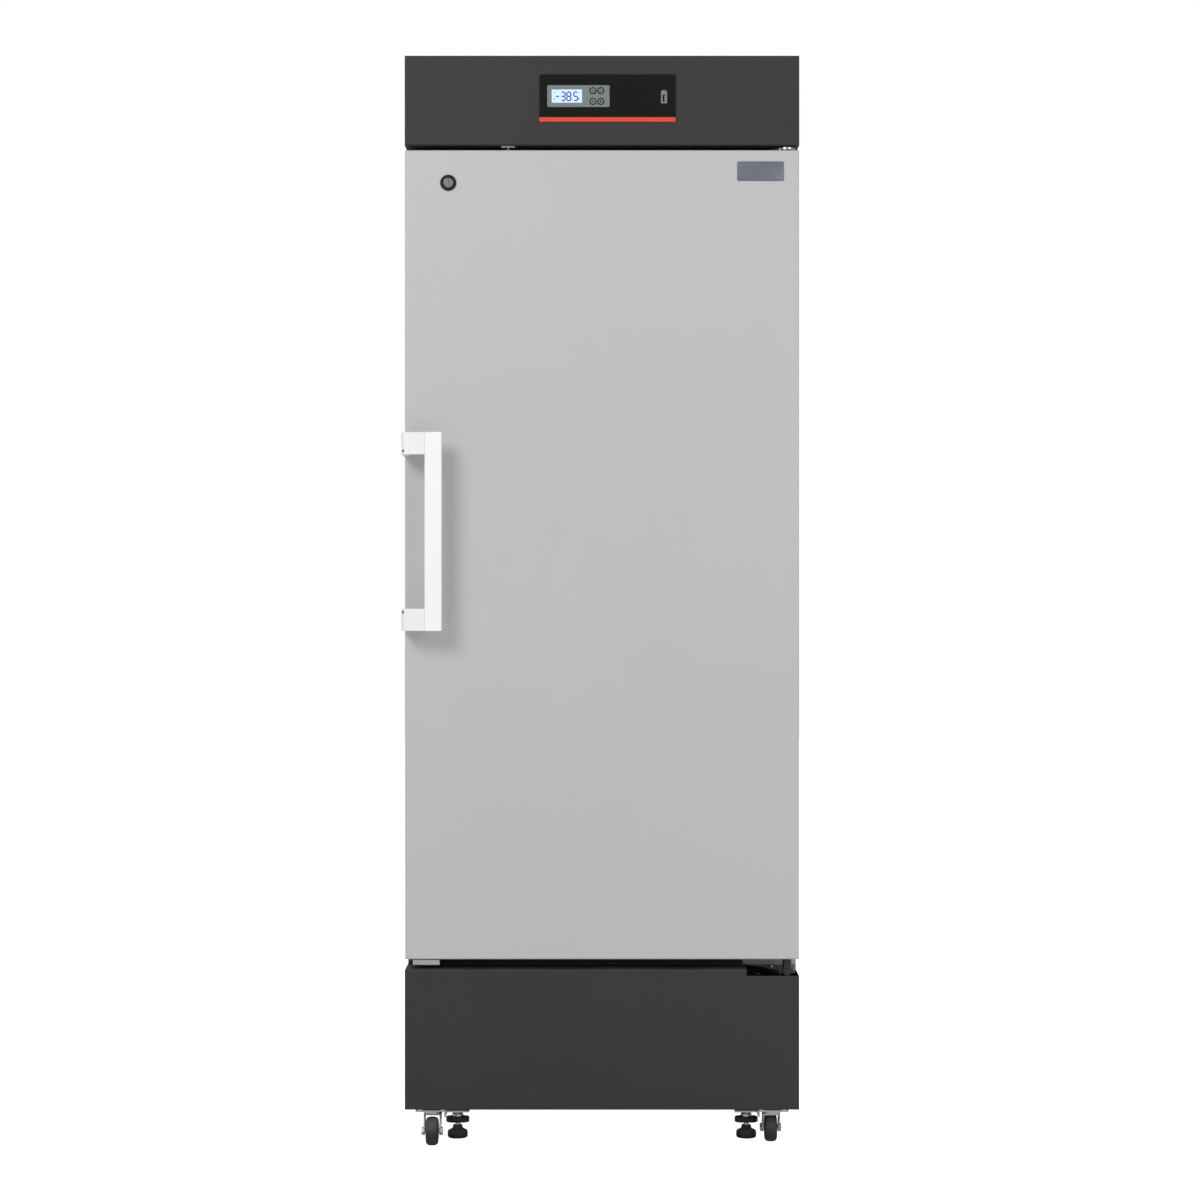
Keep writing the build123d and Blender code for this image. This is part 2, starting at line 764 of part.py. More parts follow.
# Lock plug with its key slot in front and a crank behind
plug_front_y = front_y - lock_flange_height - lock_plug_proud
barrel_end_y = front_y + lock_barrel_length
crank_y = barrel_end_y + crank_arm
with BuildPart() as lock_plug:
    cross_rod(lock_x, plug_front_y, barrel_end_y + running, lock_z, lock_plug_radius)
    with BuildSketch(front_plane(barrel_end_y + running)):
        with Locations((lock_x + crank_radius / 2, lock_z)):
            Rectangle(crank_radius + 2 * crank_pin_radius + crank_arm, 2 * crank_pin_radius + crank_arm)
    extrude(amount=-(crank_arm - running))
    cross_rod(lock_x + crank_radius, crank_y, crank_y + crank_pin_length, lock_z, crank_pin_radius)
    with BuildSketch(front_plane(plug_front_y)):
        with Locations((lock_x, lock_z)):
            Rectangle(key_slot_width, key_slot_length)
    extrude(amount=-key_slot_depth, mode=Mode.SUBTRACT)
save(lock_plug.part, "lock_plug")

# Bolt: a yoke with a cross slot for the crank pin, and a round shoot that rises into the fascia
yoke_y0 = crank_y + seat
yoke_y1 = yoke_y0 + bolt_yoke_thickness
yoke_z0 = lock_z - crank_pin_radius - seat - yoke_rim
yoke_z1 = lock_z + crank_pin_radius + yoke_lost_motion + yoke_rim
with BuildPart() as lock_bolt:
    block(case_x - bolt_yoke_width / 2, case_x + bolt_yoke_width / 2, yoke_y0, yoke_y1, yoke_z0, yoke_z1)
    block(case_x - bolt_yoke_width / 2 + yoke_rim, case_x + bolt_yoke_width / 2 - yoke_rim, yoke_y0, yoke_y1,
          yoke_z0 + yoke_rim, yoke_z1 - yoke_rim, mode=Mode.SUBTRACT)
    rod(lock_x, bolt_y, yoke_z1, door_top_z - seat, bolt_radius)
save(lock_bolt.part, "lock_bolt")

# Foam that fills the door between its skin and its inner face
with BuildPart() as door_foam:
    block(-door_half + sheet, door_half - sheet, front_y + sheet, liner_plate_y, door_z + sheet,
          door_top_z - sheet)
    chamfer(door_foam.faces().sort_by(Axis.Y)[0].edges(), door_edge_radius - sheet)
    with BuildSketch(front_plane(liner_plate_y)):
        with Locations((0, (plug_z + plug_top_z) / 2)):
            RectangleRounded(
                2 * (plug_half - door_liner_sheet),
                plug_top_z - plug_z - 2 * door_liner_sheet,
                plug_corner - door_liner_sheet,
            )
    extrude(amount=-(plug_y - door_liner_sheet - plug_panel_recess - liner_plate_y))
    block(case_x - case_half, case_x + case_half, front_y, case_y1, case_z0, door_top_z, mode=Mode.SUBTRACT)
    rod(pin_x, pin_y, door_z, door_z + pin_engagement + 2 * seat, bush_radius, mode=Mode.SUBTRACT)
    rod(pin_x, pin_y, door_top_z - pin_engagement - 2 * seat, door_top_z, bush_radius, mode=Mode.SUBTRACT)
save(door_foam.part, "door_foam")

# Magnetic gasket: a foot in the door, a narrow bellows and the magnet pocket that meets the frame
gasket_half = door_half - gasket_inset
gasket_middle_z = (door_z + door_top_z) / 2
gasket_height = door_height - 2 * gasket_inset
foot_end_y = lip_y + gasket_foot
neck_end_y = foot_end_y + gasket_neck
with BuildPart() as door_gasket:
    for start, end, inset, width in (
        (lip_y, foot_end_y, 0, gasket_width),
        (foot_end_y, neck_end_y, (gasket_width - gasket_neck_width) / 2, gasket_neck_width),
        (neck_end_y, shell_y - seat, 0, gasket_width),
    ):
        with BuildSketch(front_plane(start)):
            with Locations((0, gasket_middle_z)):
                Rectangle(2 * (gasket_half - inset), gasket_height - 2 * inset)
                Rectangle(2 * (gasket_half - inset - width), gasket_height - 2 * (inset + width),
                          mode=Mode.SUBTRACT)
        extrude(amount=-(end - start))
save(door_gasket.part, "door_gasket")

# Handle bar
handle_y = front_y - handle_reach
bar_x0 = -door_half + handle_bar_inset
handle_z0 = handle_middle_z - handle_length / 2
handle_z1 = handle_middle_z + handle_length / 2
with BuildPart() as handle_bar:
    with BuildSketch(Plane.XY.offset(handle_z0)):
        with Locations((bar_x0 + handle_bar_width / 2, handle_y + handle_bar_depth / 2)):
            RectangleRounded(handle_bar_width, handle_bar_depth, handle_bar_radius)
    extrude(amount=handle_length)
save(handle_bar.part, "handle_bar")

# Two cast feet that grip the side of the door and carry the bar
foot_front_y = handle_y + handle_foot_setback
with BuildPart() as handle_brackets:
    for start_z in (handle_z0, handle_z1 - handle_foot_height):
        with BuildSketch(Plane.XY.offset(start_z)):
            with BuildLine():
                Polyline(
                    (-door_half - handle_side_plate, front_y + handle_side_length),
                    (-door_half - handle_side_plate, foot_front_y),
                    (bar_x0, foot_front_y),
                    (bar_x0, foot_front_y + handle_foot_thickness),
                    (-door_half - handle_side_plate + handle_arm_width, foot_front_y + handle_foot_thickness),
                    (-door_half - handle_side_plate + handle_arm_width, front_y),
                    (-door_half, front_y),
                    (-door_half, front_y + handle_side_length),
                    close=True,
                )
            make_face()
        extrude(amount=handle_foot_height)
    uprights = handle_brackets.edges().filter_by(Axis.Z)
    fillet(uprights.group_by(Axis.Y)[0].sort_by(Axis.X)[0:2], handle_outer_radius)
save(handle_brackets.part, "handle_brackets")

# Caster in its own frame: swivel axis on Z through the origin, wheel trailing towards +Y
fork_inner = tread_width / 2 + fork_gap
fork_outer = fork_inner + fork_cheek
crown_z = 2 * wheel_radius + crown_clearance
race_z = caster_z - seat

with BuildPart() as caster_fork:
    with BuildSketch(Plane.YZ.offset(-fork_outer)):
        with BuildLine():
            Polyline(
                (-fork_crown_width / 2, crown_z + fork_cheek),
                (-fork_crown_width / 2, crown_z - fork_cheek),
                (swivel_trail - fork_eye - fork_cheek, wheel_radius - fork_cheek),
                (swivel_trail, wheel_radius - fork_eye - fork_cheek),
                (swivel_trail + fork_eye + fork_cheek, wheel_radius),
                (fork_crown_width / 2, crown_z + fork_cheek),
                close=True,
            )
        make_face()
    extrude(amount=2 * fork_outer)
    lower_nose = caster_fork.edges().filter_by(Axis.X).group_by(Axis.Z)[0]
    chamfer(lower_nose, fork_eye / 2)
    block(-fork_inner, fork_inner, -fork_crown_width, 2 * fork_crown_width, 0, crown_z, mode=Mode.SUBTRACT)
    with BuildSketch(Plane.XY.offset(crown_z + fork_cheek)):
        RegularPolygon(race_radius, small_facets)
    extrude(amount=race_z - crown_z - fork_cheek)
    rod(0, 0, crown_z + fork_cheek, base_z - seat, kingpin_radius)
    with BuildSketch(Plane.YZ.offset(-fork_outer - axle_nut_length)):
        with Locations((swivel_trail, wheel_radius)):
            RegularPolygon(axle_nut_flats / 2, 6, major_radius=False)
    extrude(amount=axle_nut_length)
    with BuildSketch(Plane.YZ.offset(fork_outer)):
        with Locations((swivel_trail, wheel_radius)):
            RegularPolygon(axle_nut_flats / 2, 6, major_radius=False)
    extrude(amount=axle_nut_length)
    with Locations((0, swivel_trail, wheel_radius)):
        Cylinder(axle_radius, 2 * fork_inner, rotation=(0, 90, 0))

with BuildPart() as caster_wheel:
    with BuildSketch(Plane.YZ.offset(-tread_width / 2)):
        RegularPolygon(wheel_radius, wheel_facets)
        Circle(axle_radius + running, mode=Mode.SUBTRACT)
    extrude(amount=tread_width)

# Swivel axis of each caster and the way that its wheel trails at rest
caster_places = {
    "front_left": (-caster_x, caster_y, 180),
    "front_right": (caster_x, caster_y, 0),
    "rear_left": (-caster_x, rear_caster_y, 180),
    "rear_right": (caster_x, rear_caster_y, 180),
}
for name, (x, y, heading) in caster_places.items():
    turned = Location((x, y, 0), (0, 0, heading))
    wheel_turned = turned * Location((0, swivel_trail, wheel_radius))
    save(caster_fork.part.moved(turned), "caster_fork_" + name)
    save(caster_wheel.part.moved(wheel_turned), "caster_wheel_" + name)

# Mounting plates of the four casters; the front two step down to a lug for the levelling foot
with BuildPart() as caster_brackets:
    plate_half = mount_plate_width / 2
    for side in (-1, 1):
        web_x = caster_x - plate_half + foot_web_drop / 2
        inner_lug_x = foot_x - foot_lug_width / 2
        lug_y0 = foot_y - foot_lug_width / 2
        lug_y1 = foot_y + foot_lug_width / 2
        outer_x = caster_x + plate_half
        plate_y0 = caster_y - mount_plate_length / 3
        with BuildSketch(Plane.XZ.offset(-plate_y0)):
            with BuildLine():
                Polyline(
                    (side * outer_x, base_z),
                    (side * (web_x - bracket_plate), base_z),
                    (side * (web_x - bracket_plate), foot_lug_z + bracket_plate),
                    (side * inner_lug_x, foot_lug_z + bracket_plate),
                    (side * inner_lug_x, foot_lug_z),
                    (side * web_x, foot_lug_z),
                    (side * web_x, base_z - bracket_plate),
                    (side * outer_x, base_z - bracket_plate),
                    close=True,
                )
            make_face()
        extrude(amount=-(lug_y1 - plate_y0))
        block(side * foot_x - foot_lug_width, side * foot_x + foot_lug_width, plate_y0, lug_y0,
              foot_lug_z - seat, foot_lug_z + bracket_plate + seat, mode=Mode.SUBTRACT)
        rod(side * caster_x, caster_y, caster_z, base_z, kingpin_radius + running, mode=Mode.SUBTRACT)
        with BuildSketch(Plane.XY.offset(foot_lug_z + bracket_plate)):
            with Locations((side * foot_x, foot_y)):
                RegularPolygon(nut_flats / 2, 6)
        extrude(amount=weld_nut_height)
        rod(side * foot_x, foot_y, foot_lug_z, foot_lug_z + bracket_plate + weld_nut_height,
            stud_radius + running, mode=Mode.SUBTRACT)
        block(side * caster_x - plate_half, side * caster_x + plate_half, rear_caster_y - plate_half,
              rear_caster_y + plate_half, caster_z, base_z)
        rod(side * caster_x, rear_caster_y, caster_z, base_z, kingpin_radius + running, mode=Mode.SUBTRACT)
save(caster_brackets.part, "caster_brackets")

# Levelling feet: a rubber pad with a socket, and a stud with its foot, wing and jam nut
stud_top_z = foot_lug_z + bracket_plate + weld_nut_height
neck_z = foot_pad_height + foot_neck_height
jam_z = wing_z + wing_height + jam_nut_gap
for name, x in (("left", -foot_x), ("right", foot_x)):
    with BuildPart() as foot_pad:
        with BuildSketch():
            with Locations((x, foot_y)):
                RegularPolygon(foot_pad_radius, round_facets)
        extrude(amount=foot_pad_height)
        with BuildSketch(Plane.XY.offset(foot_pad_height)):
            with Locations((x, foot_y)):
                RegularPolygon(foot_neck_radius, small_facets)
                Circle(foot_socket_radius + running, mode=Mode.SUBTRACT)
        extrude(amount=foot_neck_height)
    save(foot_pad.part, "foot_pad_" + name)

    with BuildPart() as foot_screw:
        rod(x, foot_y, foot_pad_height + running, neck_z, foot_socket_radius)
        with BuildSketch(Plane.XY.offset(neck_z)):
            with Locations((x, foot_y)):
                RegularPolygon(stud_radius, small_facets)
        extrude(amount=stud_top_z + stud_spare - neck_z)
        with BuildSketch(Plane.XY.offset(wing_z)):
            with BuildLine():
                Polyline(
                    (x - wing_radius, foot_y - wing_tip),
                    (x, foot_y - wing_waist),
                    (x + wing_radius, foot_y - wing_tip),
                    (x + wing_radius, foot_y + wing_tip),
                    (x, foot_y + wing_waist),
                    (x - wing_radius, foot_y + wing_tip),
                    close=True,
                )
            make_face()
        extrude(amount=wing_height)
        with BuildSketch(Plane.XY.offset(jam_z)):
            with Locations((x, foot_y)):
                RegularPolygon(nut_flats / 2, 6, major_radius=False)
        extrude(amount=jam_nut_height)
    save(foot_screw.part, "foot_screw_" + name)

# Base tray under the machinery, open in the middle for air
with BuildPart() as base_frame:
    block(-shell_half, shell_half, shell_y, inner_back_y, base_z, base_z + base_sheet)
    tray_top_z = base_z + tray_flange
    block(-shell_half, shell_half, shell_y, shell_y + base_sheet, base_z, tray_top_z)
    block(-shell_half, -shell_half + base_sheet, shell_y, inner_back_y, base_z, tray_top_z)
    block(shell_half - base_sheet, shell_half, shell_y, inner_back_y, base_z, tray_top_z)
    with BuildSketch(Plane.XY.offset(base_z)):
        with Locations((0, shell_y + air_slot_inset), (condenser_x, shell_y + 3 * air_slot_inset)):
            Rectangle(air_slot_length, air_slot_width)
        with Locations((-foot_x, foot_y), (foot_x, foot_y)):
            Circle(foot_hole_radius)
    extrude(amount=base_sheet, mode=Mode.SUBTRACT)
save(base_frame.part, "base_frame")

# Hermetic compressor: domed canister on a foot plate, terminal box, three stubs and four grommets
tray_z = base_z + base_sheet
foot_plate_z = tray_z + grommet_height
canister_z = foot_plate_z + compressor_foot_plate
canister_top = canister_z + canister_height
stub_y = compressor_y - canister_radius
discharge_x = compressor_x + canister_radius / 2
suction_x = compressor_x - canister_radius / 2
stub_z = canister_z + canister_height / 2
with BuildPart() as compressor:
    with BuildSketch(Plane.XY.offset(canister_z)):
        with Locations((compressor_x, compressor_y)):
            RegularPolygon(canister_radius, round_facets)
    extrude(amount=canister_height - canister_shoulder - canister_crown)
    with BuildSketch(Plane.XY.offset(canister_top - canister_shoulder - canister_crown)):
        with Locations((compressor_x, compressor_y)):
            RegularPolygon(canister_radius, round_facets)
    extrude(amount=canister_shoulder, taper=shoulder_taper)
    crown_face = compressor.faces().sort_by(Axis.Z)[-1]
    extrude(crown_face, amount=canister_crown, taper=crown_taper)
    with BuildSketch(Plane.XY.offset(foot_plate_z)):
        with Locations((compressor_x, compressor_y)):
            Rectangle(compressor_foot_width, compressor_foot_depth)
    extrude(amount=compressor_foot_plate)
    box_half = terminal_box / 2
    box_y = compressor_y - canister_radius - box_half / 2
    block(compressor_x - box_half, compressor_x + box_half, box_y, compressor_y, stub_z - box_half,
          stub_z + box_half)
    for x in (discharge_x, suction_x):
        rod(x, compressor_y, stub_z, canister_top, suction_pipe_radius + seat)
    with BuildSketch(Plane.XY.offset(tray_z)):
        with Locations((compressor_x, compressor_y)):
            with GridLocations(
                compressor_foot_width - 2 * grommet_inset,
                compressor_foot_depth - 2 * grommet_inset,
                2,
                2,
            ):
                RegularPolygon(grommet_radius, 8)
    extrude(amount=grommet_height - seat)
save(compressor.part, "compressor")

# Finned condenser behind the rear grille, with end plates and return bends
condenser_y1 = inner_back_y - condenser_setback
condenser_y0 = condenser_y1 - condenser_depth
condenser_z = tray_z
condenser_x0 = condenser_x - condenser_width / 2
condenser_x1 = condenser_x + condenser_width / 2
condenser_top = condenser_z + condenser_height
condenser_y = (condenser_y0 + condenser_y1) / 2
with BuildPart() as condenser:
    block(condenser_x0, condenser_x1, condenser_y - condenser_web / 2, condenser_y + condenser_web / 2,
          condenser_z + end_plate, condenser_top - end_plate)
    with BuildSketch(Plane.XY.offset(condenser_z + end_plate)):
        with Locations((condenser_x, condenser_y)):
            with GridLocations(condenser_fin_pitch, 0, int(condenser_width / condenser_fin_pitch) - 1, 1):
                Rectangle(condenser_fin, condenser_depth)
    extrude(amount=condenser_height - 2 * end_plate)
    for x0 in (condenser_x0, condenser_x1 - end_plate):
        block(x0, x0 + end_plate, condenser_y0, condenser_y1, condenser_z, condenser_top)
    for z0 in (condenser_z, condenser_top - end_plate):
        block(condenser_x0, condenser_x1, condenser_y0, condenser_y1, z0, z0 + end_plate)
    bend_count = int((condenser_height - return_bend_pitch) / (2 * return_bend_pitch))
    with BuildSketch(Plane.YZ.offset(condenser_x0)):
        with Locations((condenser_y, (condenser_z + condenser_top) / 2)):
            with GridLocations(0, 2 * return_bend_pitch, 1, bend_count):
                Rectangle(2 * return_bend_radius, return_bend_pitch + 2 * return_bend_radius)
    extrude(amount=-2 * return_bend_radius)
    with BuildSketch(Plane.YZ.offset(condenser_x1)):
        with Locations((condenser_y, (condenser_z + condenser_top) / 2)):
            with GridLocations(0, 2 * return_bend_pitch, 1, bend_count):
                Rectangle(2 * return_bend_radius, return_bend_pitch + 2 * return_bend_radius)
    extrude(amount=2 * return_bend_radius)
save(condenser.part, "condenser")

# Fan shroud: a plate on the condenser, a ring round the fan and three arms to the motor seat
fan_z = (condenser_z + condenser_top) / 2
ring_y0 = condenser_y0 - shroud_ring_depth
motor_face_y = ring_y0 + base_sheet
with BuildPart() as fan_shroud:
    with BuildSketch(front_plane(condenser_y0)):
        with Locations((condenser_x, fan_z)):
            Rectangle(shroud_size, shroud_size)
            RegularPolygon(shroud_ring_radius, 2 * small_facets, mode=Mode.SUBTRACT)
    extrude(amount=shroud_sheet)
    with BuildSketch(front_plane(condenser_y0)):
        with Locations((condenser_x, fan_z)):
            RegularPolygon(shroud_ring_radius + shroud_sheet, 2 * small_facets)
            RegularPolygon(shroud_ring_radius, 2 * small_facets, mode=Mode.SUBTRACT)
    extrude(amount=shroud_ring_depth)
    with BuildSketch(front_plane(motor_face_y)):
        with Locations((condenser_x, fan_z)):
            with PolarLocations(shroud_ring_radius / 2, 3, start_angle=90):
                Rectangle(shroud_ring_radius + shroud_sheet, shroud_arm_width)
            RegularPolygon(shroud_hub_radius, round_facets)
            Circle(fan_shaft_radius + seat, mode=Mode.SUBTRACT)
    extrude(amount=base_sheet)
save(fan_shroud.part, "fan_shroud")

# Fan rotor: pitched blades on a hub, with the shaft that runs in the motor
hub_y0 = motor_face_y + bracket_plate
hub_y1 = hub_y0 + fan_hub_length
with BuildPart() as condenser_fan:
    with BuildSketch(front_plane(hub_y1)):
        with Locations((condenser_x, fan_z)):
            RegularPolygon(fan_hub_radius, 2 * fan_blades)
    extrude(amount=fan_hub_length)
    blade_middle = (fan_hub_radius + fan_radius) / 2 - fan_blade_sheet
    blade_length = fan_radius - fan_hub_radius
    for number in range(fan_blades):
        angle = math.radians(360 / fan_blades * number)
        pitch = math.radians(fan_blade_pitch)
        spoke = Plane(
            origin=(condenser_x, (hub_y0 + hub_y1) / 2, fan_z),
            x_dir=(math.cos(angle), 0, math.sin(angle)),
            z_dir=(-math.sin(pitch) * math.sin(angle), -math.cos(pitch), math.sin(pitch) * math.cos(angle)),
        )
        with BuildSketch(spoke.offset(-fan_blade_sheet / 2)):
            with Locations((blade_middle, 0)):
                Rectangle(blade_length, fan_blade_chord)
        extrude(amount=fan_blade_sheet)
    with BuildSketch(front_plane(hub_y0)):
        with Locations((condenser_x, fan_z)):
            Circle(fan_radius)
    extrude(amount=-fan_hub_length, mode=Mode.INTERSECT)
    cross_rod(condenser_x, ring_y0 - fan_shaft_reach, hub_y1, fan_z, fan_shaft_radius)
save(condenser_fan.part, "condenser_fan")

# Fan motor on its seat, with the bearing bore for the shaft
with BuildPart() as fan_motor:
    with BuildSketch(front_plane(ring_y0)):
        with Locations((condenser_x, fan_z)):
            RegularPolygon(motor_radius, round_facets)
    extrude(amount=motor_length)
    cross_rod(condenser_x, ring_y0 - fan_shaft_reach - seat, ring_y0, fan_z, fan_shaft_radius + running,
              mode=Mode.SUBTRACT)
save(fan_motor.part, "fan_motor")


def pipe(points, bend, radius):
    """A faceted tube along straight runs, with each corner cut to a short run across it."""
    corners = [Vector(*point) for point in points]
    route_points = [corners[0]]
    for before, corner, after in zip(corners, corners[1:], corners[2:]):
        route_points.append(corner + (before - corner).normalized() * bend)
        route_points.append(corner + (after - corner).normalized() * bend)
    route_points.append(corners[-1])
    with BuildPart() as tube:
        with BuildLine() as route:
            Polyline(*route_points)
        with BuildSketch(Plane(origin=route_points[0], z_dir=route_points[1] - route_points[0])):
            RegularPolygon(radius, tube_facets)
        sweep(transition=Transition.RIGHT)
    return tube.part


# Refrigerant pipes: discharge to the condenser, liquid through the drier, and suction from the foam
deck_z = foam_z - sheet
pipe_top_z = (canister_top + deck_z) / 2
bend = 2 * suction_pipe_radius
pipe_x = condenser_x0 - 2 * return_bend_radius - bend
drier_x = (compressor_x + canister_radius + pipe_x) / 2
drier_y1 = condenser_y0 - drier_length / 2
drier_y0 = drier_y1 - drier_length
liquid_z = condenser_z + return_bend_pitch / 2
with BuildPart() as refrigerant_pipes:
    add(pipe(
        [
            (discharge_x, compressor_y, canister_top),
            (discharge_x, compressor_y, pipe_top_z),
            (discharge_x, condenser_y, pipe_top_z),
            (pipe_x, condenser_y, pipe_top_z),
            (pipe_x, condenser_y, condenser_top - return_bend_pitch / 2),
            (condenser_x0, condenser_y, condenser_top - return_bend_pitch / 2),
        ],
        bend,
        pipe_radius,
    ))
    add(pipe(
        [
            (condenser_x0, condenser_y, liquid_z),
            (drier_x, condenser_y, liquid_z),
            (drier_x, drier_y1, liquid_z),
        ],
        bend,
        pipe_radius,
    ))
    with BuildSketch(Plane.XY.offset(liquid_z)):
        with BuildLine():
            Polyline(
                (drier_x, drier_y0),
                (drier_x + drier_radius, drier_y0),
                (drier_x + drier_radius, drier_y1),
                (drier_x, drier_y1),
                close=True,
            )
        make_face()
    revolve(axis=Axis((drier_x, 0, liquid_z), (0, 1, 0)))
    add(pipe(
        [
            (drier_x, drier_y0, liquid_z),
            (drier_x, drier_y0 - drier_length / 2, liquid_z),
            (drier_x, drier_y0 - drier_length / 2, deck_z),
        ],
        bend,
        pipe_radius,
    ))
    add(pipe(
        [
            (suction_x, compressor_y, canister_top),
            (suction_x, compressor_y, pipe_top_z),
            (suction_x, drier_y0, pipe_top_z),
            (suction_x, drier_y0, deck_z),
        ],
        bend,
        suction_pipe_radius,
    ))
save(refrigerant_pipes.part, "refrigerant_pipes")

# Slotted cover of the machinery at the back, with the opening of the inlet
inlet_half = inlet_mouth_width / 2 + inlet_wall
inlet_rise = inlet_mouth_height / 2 + inlet_wall
with BuildPart() as rear_grille:
    grille_top = foam_z - sheet
    block(-shell_half, shell_half, inner_back_y, inner_back_y + sheet, base_z, grille_top)
    with BuildSketch(front_plane(inner_back_y)):
        with Locations((0, (base_z + grille_top) / 2)):
            with GridLocations(slot_pitch_x, slot_pitch_z, slot_columns, slot_rows):
                Rectangle(slot_width, slot_height)
    extrude(amount=-sheet, mode=Mode.SUBTRACT)
    block(inlet_x - inlet_half, inlet_x + inlet_half, inner_back_y, back_y, inlet_z - inlet_rise,
          inlet_z + inlet_rise, mode=Mode.SUBTRACT)
save(rear_grille.part, "rear_grille")

# Power inlet: a flanged case with a recess and three blades
with BuildPart() as power_inlet:
    block(inlet_x - inlet_half, inlet_x + inlet_half, inner_back_y + sheet - inlet_mouth_depth - 2 * inlet_wall,
          inner_back_y + sheet, inlet_z - inlet_rise, inlet_z + inlet_rise)
    with BuildSketch(front_plane(inner_back_y + sheet)):
        with Locations((inlet_x, inlet_z)):
            Rectangle(inlet_flange_width, inlet_flange_height)
    extrude(amount=-sheet)
    with BuildSketch(front_plane(back_y)):
        with Locations((inlet_x, inlet_z)):
            Rectangle(inlet_mouth_width, inlet_mouth_height)
    extrude(amount=inlet_mouth_depth, mode=Mode.SUBTRACT)
    blade_y = back_y - inlet_wall
    with BuildSketch(front_plane(blade_y)):
        with Locations(
            (inlet_x - inlet_pin_pitch, inlet_z + inlet_pin_rise / 2),
            (inlet_x, inlet_z - inlet_pin_rise / 2),
            (inlet_x + inlet_pin_pitch, inlet_z + inlet_pin_rise / 2),
        ):
            Rectangle(inlet_wall, 2 * inlet_wall)
    extrude(amount=inlet_mouth_depth - inlet_wall)
save(power_inlet.part, "power_inlet")

# Access port through the back wall: a sleeve with an inner flange, closed by a bung
with BuildPart() as access_port:
    with BuildSketch(front_plane(back_y)):
        with Locations((port_x, port_z)):
            RegularPolygon(port_radius + port_wall, round_facets)
    extrude(amount=back_y - liner_back_y)
    with BuildSketch(front_plane(liner_back_y)):
        with Locations((port_x, port_z)):
            RegularPolygon(port_radius + port_wall + port_flange, round_facets)
    extrude(amount=port_wall)
    with BuildSketch(front_plane(back_y)):
        with Locations((port_x, port_z)):
            RegularPolygon(port_radius, round_facets)
    extrude(amount=back_y - liner_back_y + port_wall, mode=Mode.SUBTRACT)
    with BuildSketch(front_plane(liner_back_y - port_wall)):
        with Locations((port_x, port_z)):
            RegularPolygon(port_radius - seat, round_facets)
    extrude(amount=-bung_length)
save(access_port.part, "access_port")

# Evaporator shelves: roll-bonded plates with raised channels, folded at the sides, front and back
shelf_half = liner_half - seat
shelf_y0 = foam_front_y + shelf_front_gap
shelf_y1 = liner_back_y - shelf_back_gap
shelf_pitch = (liner_top_z - liner_z) / (shelf_count + 1)
channel_x = shelf_half - channel_margin
for number in range(1, shelf_count + 1):
    shelf_z = liner_z + number * shelf_pitch
    with BuildPart() as evaporator_shelf:
        block(-shelf_half, shelf_half, shelf_y0, shelf_y1, shelf_z, shelf_z + shelf_sheet)
        for x0 in (-shelf_half, shelf_half - shelf_sheet):
            block(x0, x0 + shelf_sheet, shelf_y0, shelf_y1, shelf_z - shelf_flange, shelf_z)
        block(-shelf_half, shelf_half, shelf_y0, shelf_y0 + shelf_sheet, shelf_z, shelf_z + shelf_lip)
        block(-shelf_half, shelf_half, shelf_y1 - shelf_sheet, shelf_y1, shelf_z, shelf_z + shelf_lip)
        with BuildSketch(Plane.XY.offset(shelf_z + shelf_sheet)) as channels:
            with BuildLine() as serpentine:
                last_run = (channel_runs - 1) / 2
                shelf_middle_y = (shelf_y0 + shelf_y1) / 2
                turns = []
                for run in range(channel_runs):
                    y = shelf_middle_y + (run - last_run) * channel_pitch
                    side = 1 if run % 2 == 0 else -1
                    turns += [(-side * channel_x, y), (side * channel_x, y)]
                Polyline(*turns)
            trace(line_width=channel_width)
        extrude(amount=channel_height)
        for x in (-riser_offset, riser_offset):
            block(x - riser_radius, x + riser_radius, shelf_y1, liner_back_y, shelf_z + shelf_sheet,
                  shelf_z + shelf_sheet + 2 * riser_radius)
    save(evaporator_shelf.part, "evaporator_shelf_" + str(number))
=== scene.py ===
import math

import bmesh
import bpy
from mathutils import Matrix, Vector


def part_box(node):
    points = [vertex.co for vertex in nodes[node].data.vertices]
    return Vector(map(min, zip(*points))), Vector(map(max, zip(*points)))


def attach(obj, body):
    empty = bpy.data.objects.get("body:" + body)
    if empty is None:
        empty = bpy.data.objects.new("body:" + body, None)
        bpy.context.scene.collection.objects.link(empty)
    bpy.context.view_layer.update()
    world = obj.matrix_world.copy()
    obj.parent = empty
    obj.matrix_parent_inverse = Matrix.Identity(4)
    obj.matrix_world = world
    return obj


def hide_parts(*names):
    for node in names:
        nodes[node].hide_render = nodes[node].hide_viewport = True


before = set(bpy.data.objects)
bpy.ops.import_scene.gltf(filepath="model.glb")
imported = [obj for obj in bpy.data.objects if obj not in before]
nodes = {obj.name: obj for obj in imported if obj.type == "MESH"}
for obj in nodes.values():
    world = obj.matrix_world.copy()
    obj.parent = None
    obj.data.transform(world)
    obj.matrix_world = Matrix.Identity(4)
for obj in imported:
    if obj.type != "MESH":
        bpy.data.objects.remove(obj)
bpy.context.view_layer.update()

scene = bpy.context.scene
CORNERS = ("front_left", "front_right", "rear_left", "rear_right")
SIDES = ("left", "right")


def shade(red, green, blue):
    """A colour as the photograph shows it, 0 to 255, made linear."""
    def straight(value):
        value /= 255.0
        return value / 12.92 if value <= 0.04045 else ((value + 0.055) / 1.055) ** 2.4
    return (straight(red), straight(green), straight(blue), 1.0)


# Shader effects that several finishes share

